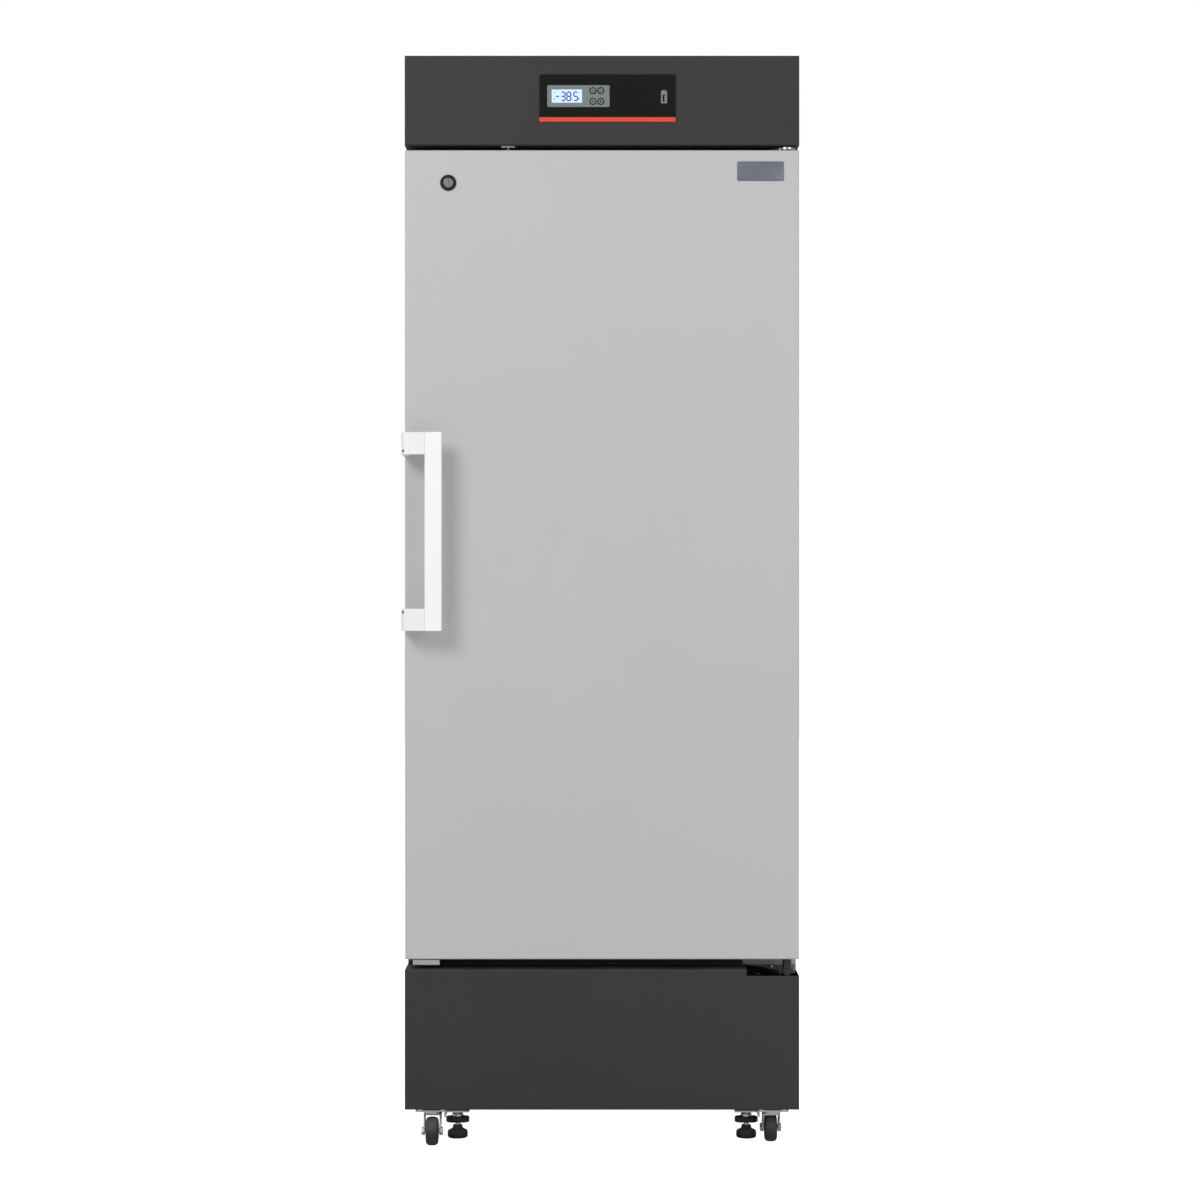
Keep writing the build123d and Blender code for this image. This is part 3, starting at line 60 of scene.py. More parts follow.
def effect(name, inputs, outputs):
    """A new shader group with its named sockets, and its two end nodes."""
    tree = bpy.data.node_groups.new(name, "ShaderNodeTree")
    for label, kind, value in inputs:
        socket = tree.interface.new_socket(name=label, in_out="INPUT", socket_type=kind)
        socket.default_value = value
    for label, kind in outputs:
        tree.interface.new_socket(name=label, in_out="OUTPUT", socket_type=kind)
    return tree, tree.nodes.new("NodeGroupInput"), tree.nodes.new("NodeGroupOutput")


def put(tree, kind, links=(), **settings):
    """One node in a tree, its settings, and what its sockets are fed or set to."""
    made = tree.nodes.new(kind)
    for key, value in settings.items():
        setattr(made, key, value)
    for socket, source in links:
        if isinstance(source, bpy.types.NodeSocket):
            tree.links.new(source, made.inputs[socket])
        else:
            made.inputs[socket].default_value = source
    return made


def powder_grain():
    """The pebbled skin of baked powder paint and of moulded plastic."""
    tree, given, result = effect(
        "powder_grain",
        [("Pebble Scale", "NodeSocketFloat", 900.0), ("Cloud Scale", "NodeSocketFloat", 3.0)],
        [("Height", "NodeSocketFloat"), ("Tone", "NodeSocketFloat")])
    place = put(tree, "ShaderNodeTexCoord").outputs["Object"]
    pebbles = put(tree, "ShaderNodeTexNoise", [("Vector", place), ("Scale", given.outputs["Pebble Scale"]),
                                               ("Detail", 3.0), ("Roughness", 0.55)])
    clouds = put(tree, "ShaderNodeTexNoise", [("Vector", place), ("Scale", given.outputs["Cloud Scale"]),
                                              ("Detail", 4.0), ("Roughness", 0.6)])
    tree.links.new(pebbles.outputs["Fac"], result.inputs["Height"])
    tree.links.new(clouds.outputs["Fac"], result.inputs["Tone"])
    return tree


def drawn_lines():
    """Fine lines left by rolling, brushing or drawing, long in one direction."""
    tree, given, result = effect(
        "drawn_lines",
        [("Stretch", "NodeSocketVector", (1.0, 1.0, 1.0)), ("Line Scale", "NodeSocketFloat", 60.0)],
        [("Height", "NodeSocketFloat"), ("Tone", "NodeSocketFloat")])
    place = put(tree, "ShaderNodeTexCoord").outputs["Object"]
    drawn = put(tree, "ShaderNodeVectorMath", [(0, place), (1, given.outputs["Stretch"])],
                operation="MULTIPLY")
    lines = put(tree, "ShaderNodeTexNoise",
                [("Vector", drawn.outputs[0]), ("Scale", given.outputs["Line Scale"]), ("Detail", 6.0),
                 ("Roughness", 0.7)])
    clouds = put(tree, "ShaderNodeTexNoise", [("Vector", place), ("Scale", 14.0), ("Detail", 3.0)])
    mixed = put(tree, "ShaderNodeMath", [(0, lines.outputs["Fac"]), (1, clouds.outputs["Fac"])],
                operation="MULTIPLY")
    tree.links.new(lines.outputs["Fac"], result.inputs["Height"])
    tree.links.new(mixed.outputs[0], result.inputs["Tone"])
    return tree


def rubbed_edges():
    """Where a corner is rounded by paint: a mask for edge wear and for painted highlight and shade along
    edges, and the softened normal.
    """
    tree, given, result = effect(
        "rubbed_edges",
        [("Radius", "NodeSocketFloat", 0.001), ("Strength", "NodeSocketFloat", 6.0)],
        [("Mask", "NodeSocketFloat"), ("Normal", "NodeSocketVector")])
    rounded = put(tree, "ShaderNodeBevel", [("Radius", given.outputs["Radius"])], samples=4)
    flat = put(tree, "ShaderNodeNewGeometry")
    match = put(tree, "ShaderNodeVectorMath", [(0, rounded.outputs["Normal"]), (1, flat.outputs["Normal"])],
                operation="DOT_PRODUCT")
    turned = put(tree, "ShaderNodeMath", [(0, 1.0), (1, match.outputs["Value"])], operation="SUBTRACT")
    patchy = put(tree, "ShaderNodeTexNoise",
                 [("Vector", put(tree, "ShaderNodeTexCoord").outputs["Object"]), ("Scale", 160.0)])
    worn = put(tree, "ShaderNodeMath", [(0, turned.outputs[0]), (1, patchy.outputs["Fac"])],
               operation="MULTIPLY")
    mask = put(tree, "ShaderNodeMath", [(0, worn.outputs[0]), (1, given.outputs["Strength"])],
               operation="MULTIPLY", use_clamp=True)
    tree.links.new(mask.outputs[0], result.inputs["Mask"])
    tree.links.new(rounded.outputs["Normal"], result.inputs["Normal"])
    return tree


def settled_dust():
    """Dust that lies on what faces up, thicker in some places."""
    tree, given, result = effect(
        "settled_dust",
        [("Amount", "NodeSocketFloat", 0.3), ("Patch Scale", "NodeSocketFloat", 12.0)],
        [("Mask", "NodeSocketFloat")])
    place = put(tree, "ShaderNodeTexCoord").outputs["Object"]
    facing = put(tree, "ShaderNodeSeparateXYZ", [(0, put(tree, "ShaderNodeNewGeometry").outputs["Normal"])])
    patches = put(tree, "ShaderNodeTexNoise", [("Vector", place), ("Scale", given.outputs["Patch Scale"]),
                                               ("Detail", 6.0), ("Roughness", 0.65)])
    upward = put(tree, "ShaderNodeMath", [(0, facing.outputs["Z"]), (1, patches.outputs["Fac"])],
                 operation="MULTIPLY", use_clamp=True)
    mask = put(tree, "ShaderNodeMath", [(0, upward.outputs[0]), (1, given.outputs["Amount"])],
               operation="MULTIPLY", use_clamp=True)
    tree.links.new(mask.outputs[0], result.inputs["Mask"])
    return tree


GRAIN, LINES, EDGES, DUST = powder_grain(), drawn_lines(), rubbed_edges(), settled_dust()


def grouped(tree, group, **values):
    """A shared effect placed in a material with that material's own values."""
    made = tree.nodes.new("ShaderNodeGroup")
    made.node_tree = group
    for key, value in values.items():
        made.inputs[key.replace("_", " ")].default_value = value
    return made


def finish(name, colour, cloud_colour, roughness, metallic=0.0, texture=None, bump=0.1, bump_depth=0.0001,
           edge_colour=None, edge_radius=0.0008, edge_strength=5.0, dust=0.0, coat=0.0, spread=0.1,
           glow=0.0, shine=0.5):
    """One finish: its two tones, the skin that its texture gives, its edge colour of wear and painted edge
    highlight and shade, and its dust.
    """
    material = bpy.data.materials.new(name)
    material.use_nodes = True
    tree = material.node_tree
    shader = tree.nodes["Principled BSDF"]
    skin = texture(tree) if texture else grouped(tree, GRAIN, Pebble_Scale=700.0, Cloud_Scale=4.0)
    tone = put(tree, "ShaderNodeMix", [(0, skin.outputs["Tone"]), (6, colour), (7, cloud_colour)],
               data_type="RGBA")
    painted = tone.outputs[2]
    rough = put(tree, "ShaderNodeMapRange",
                [("Value", skin.outputs["Tone"]), ("To Min", roughness - spread / 2),
                 ("To Max", roughness + spread / 2)])
    roughened = rough.outputs["Result"]
    height = put(tree, "ShaderNodeBump", [("Strength", bump), ("Distance", bump_depth),
                                          ("Height", skin.outputs["Height"])])
    # Edge colour: worn edges, and painted highlight where it is lighter than the paint, painted shade where
    # it is darker.
    if edge_colour:
        edges = grouped(tree, EDGES, Radius=edge_radius, Strength=edge_strength)
        tree.links.new(edges.outputs["Normal"], height.inputs["Normal"])
        edge_worn_and_lit = put(tree, "ShaderNodeMix", [(0, edges.outputs["Mask"]), (6, painted), (7, edge_colour)],
                     data_type="RGBA")
        painted = edge_worn_and_lit.outputs[2]
    if dust:
        layer = grouped(tree, DUST, Amount=dust, Patch_Scale=9.0)
        dusted = put(tree, "ShaderNodeMix", [(0, layer.outputs["Mask"]), (6, painted),
                                             (7, shade(176, 171, 162))], data_type="RGBA")
        dulled = put(tree, "ShaderNodeMix", [(0, layer.outputs["Mask"]), (2, roughened), (3, 0.9)])
        painted, roughened = dusted.outputs[2], dulled.outputs[0]
    tree.links.new(painted, shader.inputs["Base Color"])
    tree.links.new(roughened, shader.inputs["Roughness"])
    tree.links.new(height.outputs["Normal"], shader.inputs["Normal"])
    shader.inputs["Metallic"].default_value = metallic
    shader.inputs["Coat Weight"].default_value = coat
    shader.inputs["Specular IOR Level"].default_value = shine
    if glow:
        tree.links.new(painted, shader.inputs["Emission Color"])
        shader.inputs["Emission Strength"].default_value = glow
    return material


def pebbled(scale, cloud=4.0):
    return lambda tree: grouped(tree, GRAIN, Pebble_Scale=scale, Cloud_Scale=cloud)


def lined(stretch, scale=60.0):
    return lambda tree: grouped(tree, LINES, Stretch=stretch, Line_Scale=scale)


# The door's lighter edge colour paints a highlight along its rounded edges.
door_paint = finish("door_paint", shade(187, 187, 188), shade(193, 193, 194), 0.42,
                    texture=pebbled(850, 2.2),
                    bump=0.22, edge_colour=shade(204, 204, 205), edge_radius=0.0014, dust=0.06)
cabinet_paint = finish("cabinet_paint", shade(190, 190, 191), shade(196, 196, 197), 0.42,
                       texture=pebbled(850, 2.2), bump=0.22, edge_colour=shade(206, 206, 207), dust=0.1)
fascia_paint = finish("fascia_paint", shade(50, 50, 51), shade(56, 56, 57), 0.55,
                      texture=pebbled(1100, 3.0),
                      bump=0.35, edge_colour=shade(80, 80, 82), dust=0.12, shine=0.25)
black_enamel = finish("black_enamel", shade(22, 22, 23), shade(29, 29, 30), 0.32, texture=pebbled(500),
                      edge_colour=shade(62, 62, 63), dust=0.35)
galvanised = finish("galvanised", shade(150, 152, 153), shade(186, 188, 190), 0.45, 0.9,
                    texture=lined((1.0, 1.0, 1.0), 26.0), bump=0.05, dust=0.22)
zinc_plate = finish("zinc_plate", shade(172, 171, 166), shade(206, 205, 200), 0.3, 0.95,
                    texture=pebbled(420, 30.0), edge_colour=shade(226, 226, 222), dust=0.1)
bright_steel = finish("bright_steel", shade(186, 186, 184), shade(214, 214, 212), 0.2, 1.0,
                      texture=pebbled(600, 60.0), edge_colour=shade(235, 235, 234))
lock_chrome = finish("lock_chrome", shade(150, 152, 156), shade(196, 198, 202), 0.14, 1.0,
                     texture=pebbled(400, 40.0), bump=0.03, edge_colour=shade(232, 232, 234), spread=0.06)
poured_foam = finish("poured_foam", shade(214, 190, 126), shade(232, 214, 160), 0.85,
                     texture=pebbled(420, 12.0),
                     bump=0.7, bump_depth=0.0006)
liner_white = finish("liner_white", shade(222, 225, 228), shade(232, 235, 238), 0.34,
                     texture=pebbled(300, 5.0),
                     bump=0.08, edge_colour=shade(240, 243, 246), edge_radius=0.003)
door_lining = finish("door_lining", shade(226, 229, 231), shade(234, 237, 239), 0.3,
                     texture=pebbled(260, 6.0),
                     bump=0.12, edge_colour=shade(243, 245, 247), edge_radius=0.003)
gasket_rubber = finish("gasket_rubber", shade(120, 122, 124), shade(136, 138, 140), 0.6,
                       texture=pebbled(900, 20.0), bump=0.2, edge_colour=shade(150, 152, 154), dust=0.15)
bezel_black = finish("bezel_black", shade(16, 15, 16), shade(20, 19, 20), 0.3,
                     texture=pebbled(600), bump=0.04,
                     edge_colour=shade(58, 58, 60), shine=0.18)
# The red strip's darker edge colour paints shade lines along its edges.
strip_red = finish("strip_red", shade(214, 72, 52), shade(222, 84, 62), 0.4, texture=pebbled(500),
                   bump=0.05,
                   edge_colour=shade(190, 62, 46), edge_radius=0.0016, edge_strength=9.0, shine=0.2)
controller_grey = finish("controller_grey", shade(110, 119, 119), shade(119, 128, 128), 0.5,
                         texture=pebbled(1400, 20.0), bump=0.3, edge_colour=shade(142, 150, 150))
# The port's bright edge colour paints glints along its edges.
port_grey = finish("port_grey", shade(112, 114, 117), shade(134, 136, 139), 0.35,
                   texture=pebbled(900, 30.0),
                   edge_colour=shade(214, 217, 220), edge_radius=0.0004)
display_light = finish("display_light", shade(188, 210, 244), shade(200, 220, 248), 0.12,
                       texture=pebbled(60, 18.0),
                       bump=0.02, coat=0.6, glow=0.35)
display_ink = finish("display_ink", shade(34, 48, 150), shade(46, 62, 170), 0.5,
                     texture=pebbled(900, 60.0), shine=0.1)
print_dark = finish("print_dark", shade(20, 22, 24), shade(28, 30, 32), 0.5, texture=pebbled(1200,
                    60.0), shine=0.2)
button_grey = finish("button_grey", shade(112, 120, 121), shade(124, 132, 132), 0.5,
                     texture=pebbled(1500, 40.0),
                     bump=0.2, edge_colour=shade(64, 68, 70), edge_radius=0.0005)
board_green = finish("board_green", shade(22, 74, 42), shade(38, 96, 54), 0.45, texture=lined((1.0,
                     1.0, 4.0), 180.0),
                     bump=0.3)
shelf_metal = finish("shelf_metal", shade(190, 195, 199), shade(222, 227, 231), 0.5, 0.55,
                     texture=lined((1.0, 12.0, 12.0), 24.0), bump=0.12, edge_colour=shade(232, 237, 240))
fin_metal = finish("fin_metal", shade(158, 161, 164), shade(188, 191, 194), 0.42, 0.9,
                   texture=lined((1.0, 1.0, 8.0), 40.0), dust=0.4)
copper_tube = finish("copper_tube", shade(176, 108, 74), shade(206, 140, 100), 0.33, 1.0,
                     texture=pebbled(240, 22.0), bump=0.06, dust=0.15)
handle_satin = finish("handle_satin", shade(248, 249, 249), shade(253, 254, 254), 0.34, 0.05,
                      texture=lined((14.0, 14.0, 1.0), 44.0), bump=0.06, edge_colour=shade(250, 251, 252),
                      edge_radius=0.0012, spread=0.16)
handle_cast = finish("handle_cast", shade(236, 238, 239), shade(244, 246, 247), 0.42, 0.05,
                     texture=pebbled(700, 22.0), bump=0.16, edge_colour=shade(244, 246, 247),
                     edge_radius=0.0012)
tread_rubber = finish("tread_rubber", shade(26, 26, 27), shade(40, 40, 41), 0.62,
                      texture=pebbled(520, 40.0),
                      bump=0.35, edge_colour=shade(70, 69, 67), dust=0.4)
black_moulding = finish("black_moulding", shade(24, 24, 25), shade(34, 34, 35), 0.5,
                        texture=pebbled(1300, 20.0),
                        bump=0.35, edge_colour=shade(66, 66, 67), dust=0.2)
bush_nylon = finish("bush_nylon", shade(222, 222, 212), shade(232, 232, 224), 0.45,
                    texture=pebbled(500, 30.0))
plate_metal = finish("plate_metal", shade(112, 116, 129), shade(118, 122, 135), 0.36, 0.3,
                     texture=lined((1.0, 1.0, 14.0), 50.0), bump=0.03, edge_colour=shade(150, 154, 166),
                     edge_radius=0.0006)
lock_dark = finish("lock_dark", shade(34, 34, 36), shade(58, 58, 60), 0.25, 0.8, texture=pebbled(400, 40.0),
                   bump=0.03, edge_colour=shade(120, 122, 124))
shadow_black = finish("shadow_black", shade(12, 12, 13), shade(18, 18, 19), 0.7, texture=pebbled(800, 30.0))

node_finish = {
    "door_skin": door_paint, "side_panel_left": cabinet_paint, "side_panel_right": cabinet_paint,
    "roof_panel": cabinet_paint, "front_frame": cabinet_paint, "top_fascia": fascia_paint,
    "lower_panel": fascia_paint, "back_panel": galvanised, "base_frame": galvanised, "fan_shroud": galvanised,
    "rear_grille": galvanised, "foam_insulation": poured_foam, "door_foam": poured_foam,
    "inner_liner": liner_white, "door_liner": door_lining, "door_gasket": gasket_rubber,
    "control_bezel": bezel_black, "accent_strip": strip_red, "controller_face": controller_grey,
    "usb_port": port_grey, "display_window": display_light, "control_board": board_green,
    "hinge_top_bracket": zinc_plate, "hinge_bottom_bracket": black_enamel, "door_switch": bright_steel,
    "door_rest_plate": zinc_plate, "caster_brackets": zinc_plate, "compressor": black_enamel,
    "fan_motor": black_enamel, "condenser_fan": black_moulding, "condenser": fin_metal,
    "refrigerant_pipes": copper_tube, "access_port": black_moulding, "power_inlet": black_moulding,
    "handle_bar": handle_satin, "handle_brackets": handle_cast, "hinge_bushes": bush_nylon,
    "lock_housing": lock_dark, "lock_plug": lock_chrome, "lock_bolt": bright_steel,
}
node_finish.update({"evaporator_shelf_%d" % n: shelf_metal for n in range(1, 5)})
node_finish.update({"button_%d" % n: button_grey for n in range(1, 5)})
node_finish.update({"caster_fork_" + corner: zinc_plate for corner in CORNERS})
node_finish.update({"caster_wheel_" + corner: tread_rubber for corner in CORNERS})
node_finish.update({"foot_pad_" + side: tread_rubber for side in SIDES})
node_finish.update({"foot_screw_" + side: black_moulding for side in SIDES})
for name, material in node_finish.items():
    nodes[name].data.materials.clear()
    nodes[name].data.materials.append(material)


# Geometry that repeats or follows a path

def growth(name, inputs, build):
    """A geometry tree with named inputs, which ends in Realize Instances and Set Material."""
    tree = bpy.data.node_groups.new(name, "GeometryNodeTree")
    tree.interface.new_socket(name="Geometry", in_out="INPUT", socket_type="NodeSocketGeometry")
    tree.interface.new_socket(name="Geometry", in_out="OUTPUT", socket_type="NodeSocketGeometry")
    for label, kind, value in inputs:
        socket = tree.interface.new_socket(name=label, in_out="INPUT", socket_type=kind)
        socket.default_value = value
    tree.interface.new_socket(name="Finish", in_out="INPUT", socket_type="NodeSocketMaterial")
    given, result = tree.nodes.new("NodeGroupInput"), tree.nodes.new("NodeGroupOutput")
    shape = build(tree, given.outputs)
    real = put(tree, "GeometryNodeRealizeInstances", [("Geometry", shape)])
    finished = put(tree, "GeometryNodeSetMaterial", [("Geometry", real.outputs[0]),
                                                     ("Material", given.outputs["Finish"])])
    tree.links.new(finished.outputs[0], result.inputs["Geometry"])
    return tree


def screw_tree(tree, given):
    """A turned head with its driver recess, one at every point."""
    head = put(tree, "GeometryNodeMeshCylinder", [("Vertices", 20), ("Radius", given["Head Radius"]),
                                                  ("Depth", given["Head Height"])])
    tool = put(tree, "GeometryNodeMeshCylinder", [("Vertices", given["Recess Sides"]),
                                                  ("Radius", given["Recess Radius"]),
                                                  ("Depth", given["Head Height"])])
    half = put(tree, "ShaderNodeMath", [(0, given["Head Height"]), (1, 0.5)], operation="MULTIPLY")
    lift = put(tree, "ShaderNodeCombineXYZ", [("Z", half.outputs[0])])
    raised = put(tree, "GeometryNodeTransform", [("Geometry", tool.outputs["Mesh"]),
                                                 ("Translation", lift.outputs[0])])
    cut = put(tree, "GeometryNodeMeshBoolean", [("Mesh 1", head.outputs["Mesh"]),
                                                ("Mesh 2", raised.outputs[0])], operation="DIFFERENCE")
    seated = put(tree, "GeometryNodeTransform", [("Geometry", cut.outputs["Mesh"]),
                                                 ("Translation", lift.outputs[0])])
    facing = put(tree, "FunctionNodeEulerToRotation", [("Euler", given["Facing"])])
    return put(tree, "GeometryNodeInstanceOnPoints",
               [("Points", given["Geometry"]), ("Instance", seated.outputs[0]),
                ("Rotation", facing.outputs[0])]).outputs[0]


def stack_tree(tree, given):
    """Equal bars or fins in a straight row from each point."""
    row = put(tree, "GeometryNodeMeshLine", [("Count", given["Count"]), ("Offset", given["Step"])])
    bar = put(tree, "GeometryNodeMeshCube", [("Size", given["Size"])])
    rows = put(tree, "GeometryNodeInstanceOnPoints",
               [("Points", row.outputs[0]), ("Instance", bar.outputs[0])])
    return put(tree, "GeometryNodeInstanceOnPoints",
               [("Points", given["Geometry"]), ("Instance", rows.outputs[0])]).outputs[0]


def wire_tree(tree, given):
    """A round wire along every line of the start mesh."""
    path = put(tree, "GeometryNodeMeshToCurve", [("Mesh", given["Geometry"])])
    ring = put(tree, "GeometryNodeCurvePrimitiveCircle",
               [("Resolution", 12), ("Radius", given["Wire Radius"])])
    wire = put(tree, "GeometryNodeCurveToMesh",
               [("Curve", path.outputs[0]), ("Profile Curve", ring.outputs[0]), ("Fill Caps", True)])
    return wire.outputs[0]


SCREWS = growth("screw_heads",
                [("Head Radius", "NodeSocketFloat", 0.003), ("Head Height", "NodeSocketFloat", 0.0015),
                 ("Recess Radius", "NodeSocketFloat", 0.0014), ("Recess Sides", "NodeSocketInt", 6),
                 ("Facing", "NodeSocketVector", (0.0, 0.0, 0.0))], screw_tree)
STACKS = growth("equal_bars",
                [("Count", "NodeSocketInt", 10), ("Step", "NodeSocketVector", (0.0, 0.0, 0.002)),
                 ("Size", "NodeSocketVector", (0.01, 0.01, 0.001))], stack_tree)
WIRES = growth("round_wires", [("Wire Radius", "NodeSocketFloat", 0.0004)], wire_tree)


def settle(piece, body, smooth=True):
    """A finished piece: shaded and riding on its body."""
    if piece.name not in scene.collection.objects:
        scene.collection.objects.link(piece)
    for face in piece.data.polygons:
        face.use_smooth = smooth
    if smooth:
        piece.data.set_sharp_from_angle(angle=math.radians(35))
    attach(piece, body)
    return piece


def grown(name, tree, points, body, material, slot, edges=(), **values):
    """One plain mesh out of a geometry tree."""
    start_mesh = bpy.data.meshes.new(name + "_start")
    start_mesh.from_pydata([tuple(p) for p in points], list(edges), [])
    start = bpy.data.objects.new(name + "_start", start_mesh)
    scene.collection.objects.link(start)
    modifier = start.modifiers.new("growth", "NODES")
    modifier.node_group = tree
    values["Finish"] = material
    for item in tree.interface.items_tree:
        if item.in_out == "INPUT" and item.name.replace(" ", "_") in values:
            modifier[item.identifier] = values[item.name.replace(" ", "_")]
    graph = bpy.context.evaluated_depsgraph_get()
    mesh = bpy.data.meshes.new_from_object(start.evaluated_get(graph), depsgraph=graph)
    start.modifiers.remove(modifier)
    bpy.data.objects.remove(start)
    mesh.name = name
    return settle(bpy.data.objects.new(name, mesh), body)


def lines_of(paths, closed=False):
    """Points and edges of several paths."""
    points, edges = [], []
    for path in paths:
        first = len(points)
        points += path
        edges += [(first + k, first + k + 1) for k in range(len(path) - 1)]
        if closed:
            edges.append((len(points) - 1, first))
    return points, edges


def turned(name, profile, centre, axis, body, material, slot, steps=72, bands=()):
    """A closed form turned about an axis: profile is (radius, height) from one pole to the other.
    bands are (from, to, material) by the profile's places, for a form of more than one finish."""
    turn = Vector((0, 0, 1)).rotation_difference(Vector(axis)).to_matrix()
    mesh = bpy.data.meshes.new(name)
    form = bmesh.new()
    rings = []
    for radius, height in profile:
        if radius < 1e-7:
            rings.append([form.verts.new(turn @ Vector((0, 0, height)) + Vector(centre))])
            continue
        rings.append([form.verts.new(turn @ Vector((radius * math.cos(2 * math.pi * k / steps),
                                                    radius * math.sin(2 * math.pi * k / steps), height))
                                     + Vector(centre)) for k in range(steps)])
    for place, (low, high) in enumerate(zip(rings, rings[1:])):
        for k in range(steps):
            n = (k + 1) % steps
            if len(low) == 1 and len(high) == 1:
                continue
            if len(low) == 1:
                corners = (low[0], high[n], high[k])
            elif len(high) == 1:
                corners = (low[k], low[n], high[0])
            else:
                corners = (low[k], low[n], high[n], high[k])
            face = form.faces.new(corners)
            for index, band in enumerate(bands):
                if band[0] <= place < band[1]:
                    face.material_index = index + 1
    bmesh.ops.recalc_face_normals(form, faces=form.faces)
    form.to_mesh(mesh)
    form.free()
    mesh.materials.append(material)
    for band in bands:
        mesh.materials.append(band[2])
    return settle(bpy.data.objects.new(name, mesh), body)


def bevelled(name, low, high, radius, body, material, segments=3, round_axis=None, corner=0.0):
    """A block with rounded edges; corner rounds the four edges along one axis more."""
    form = bmesh.new()
    bmesh.ops.create_cube(form, size=1.0)
    size, centre = Vector(high) - Vector(low), (Vector(high) + Vector(low)) / 2
    for vert in form.verts:
        vert.co = Vector((vert.co.x * size.x, vert.co.y * size.y, vert.co.z * size.z)) + centre
    if corner:
        along = [e for e in form.edges
                 if abs((e.verts[0].co - e.verts[1].co).normalized()[round_axis]) > 0.99]
        bmesh.ops.bevel(form, geom=along, offset=corner, segments=8, affect="EDGES", profile=0.5)
    sharp = [e for e in form.edges if e.calc_face_angle(0) > 0.7]
    bmesh.ops.bevel(form, geom=sharp, offset=radius, segments=segments, affect="EDGES", profile=0.5)
    mesh = bpy.data.meshes.new(name)
    form.to_mesh(mesh)
    form.free()
    mesh.materials.append(material)
    return settle(bpy.data.objects.new(name, mesh), body)


def plates(name, outlines, y, depth, body, material):
    """Thin printed or stuck-on shapes that face the front: each outline is a list of (x, z)."""
    form = bmesh.new()
    for outline in outlines:
        front = [form.verts.new((x, y - depth, z)) for x, z in outline]
        back = [form.verts.new((x, y, z)) for x, z in outline]
        form.faces.new(front)
        form.faces.new(back[::-1])
        for k in range(len(outline)):
            n = (k + 1) % len(outline)
            form.faces.new((front[n], front[k], back[k], back[n]))
    bmesh.ops.recalc_face_normals(form, faces=form.faces)
    mesh = bpy.data.meshes.new(name)
    form.to_mesh(mesh)
    form.free()
    mesh.materials.append(material)
    return settle(bpy.data.objects.new(name, mesh), body, smooth=False)


def ring_outlines(x, z, inner, outer, steps=32):
    """A flat ring as a run of small quads, for plates()."""
    outlines = []
    for k in range(steps):
        a, b = 2 * math.pi * k / steps, 2 * math.pi * (k + 1) / steps
        outlines.append([(x + outer * math.cos(a), z + outer * math.sin(a)),
                         (x + outer * math.cos(b), z + outer * math.sin(b)),
                         (x + inner * math.cos(b), z + inner * math.sin(b)),
                         (x + inner * math.cos(a), z + inner * math.sin(a))])
    return outlines


FRONT, BACK, LEFT, UNDER = (math.pi / 2, 0, 0), (-math.pi / 2, 0, 0), (0, -math.pi / 2, 0), (math.pi, 0, 0)


def screws(name, points, facing, radius, height, body, material, slot, recess=0.45, sides=6):
    return grown(name, SCREWS, points, body, material, slot, Head_Radius=radius, Head_Height=height,
                 Recess_Radius=radius * recess, Recess_Sides=sides, Facing=facing)


# Where things are, read from the parts imported from model.glb
door_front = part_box("door_skin")[0][1]
back_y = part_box("back_panel")[1][1]
window_low, window_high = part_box("display_window")
lock_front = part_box("lock_housing")[0][1]
plug_low, plug_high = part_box("lock_plug")

# Bare plate at the top of the door, and the shallow field on its face
plate_x, plate_z = (0.2366, 0.3182), (1.6934, 1.7274)
plate_rim, plate_proud, field_proud, field_back = 0.0023, 0.0013, 0.0016, 0.0012
bevelled("door_plate", (plate_x[0], door_front - plate_proud, plate_z[0]),
         (plate_x[1], door_front, plate_z[1]), 0.0005, "door", plate_metal, round_axis=1,
         corner=0.002)
bevelled("door_plate_field", (plate_x[0] + plate_rim, door_front - field_proud, plate_z[0] + plate_rim),
         (plate_x[1] - plate_rim, door_front - field_back, plate_z[1] - plate_rim), 0.0001, "door",
         plate_metal, round_axis=1, corner=0.0014)

# Display: a dash and three seven-segment figures, a point and four small marks.
# Each segment is (across, up, level), in halves of the figure's size.
SEGMENTS = {"a": (0, 1, 1), "b": (0.5, 0.5, 0), "c": (0.5, -0.5, 0), "d": (0, -1, 1), "e": (-0.5, -0.5, 0),
            "f": (-0.5, 0.5, 0), "g": (0, 0, 1)}
FIGURES = {"-": "g", "3": "abcdg", "8": "abcdefg", "5": "acdfg"}
PRINT_DEPTH = 0.00006


def figure(key, x, z, width, height, stroke):
    """The bars of one figure, each a long hexagon."""
    outlines = []
    for part in FIGURES[key]:
        across, up, level = SEGMENTS[part]
        cx, cz = x + across * width, z + up * height / 2
        half = (width if level else height / 2) / 2 - stroke * 0.12
        tip = stroke / 2
        if level:
            outlines.append([(cx - half, cz), (cx - half + tip, cz - tip), (cx + half - tip, cz - tip),
                             (cx + half, cz), (cx + half - tip, cz + tip), (cx - half + tip, cz + tip)])
        else:
            outlines.append([(cx, cz - half), (cx + tip, cz - half + tip), (cx + tip, cz + half - tip),
                             (cx, cz + half), (cx - tip, cz + half - tip), (cx - tip, cz - half + tip)])
    return outlines


def square(x0, z0, x1, z1):
    """The outline of an upright rectangle, for plates()."""
    return [(x0, z0), (x1, z0), (x1, z1), (x0, z1)]


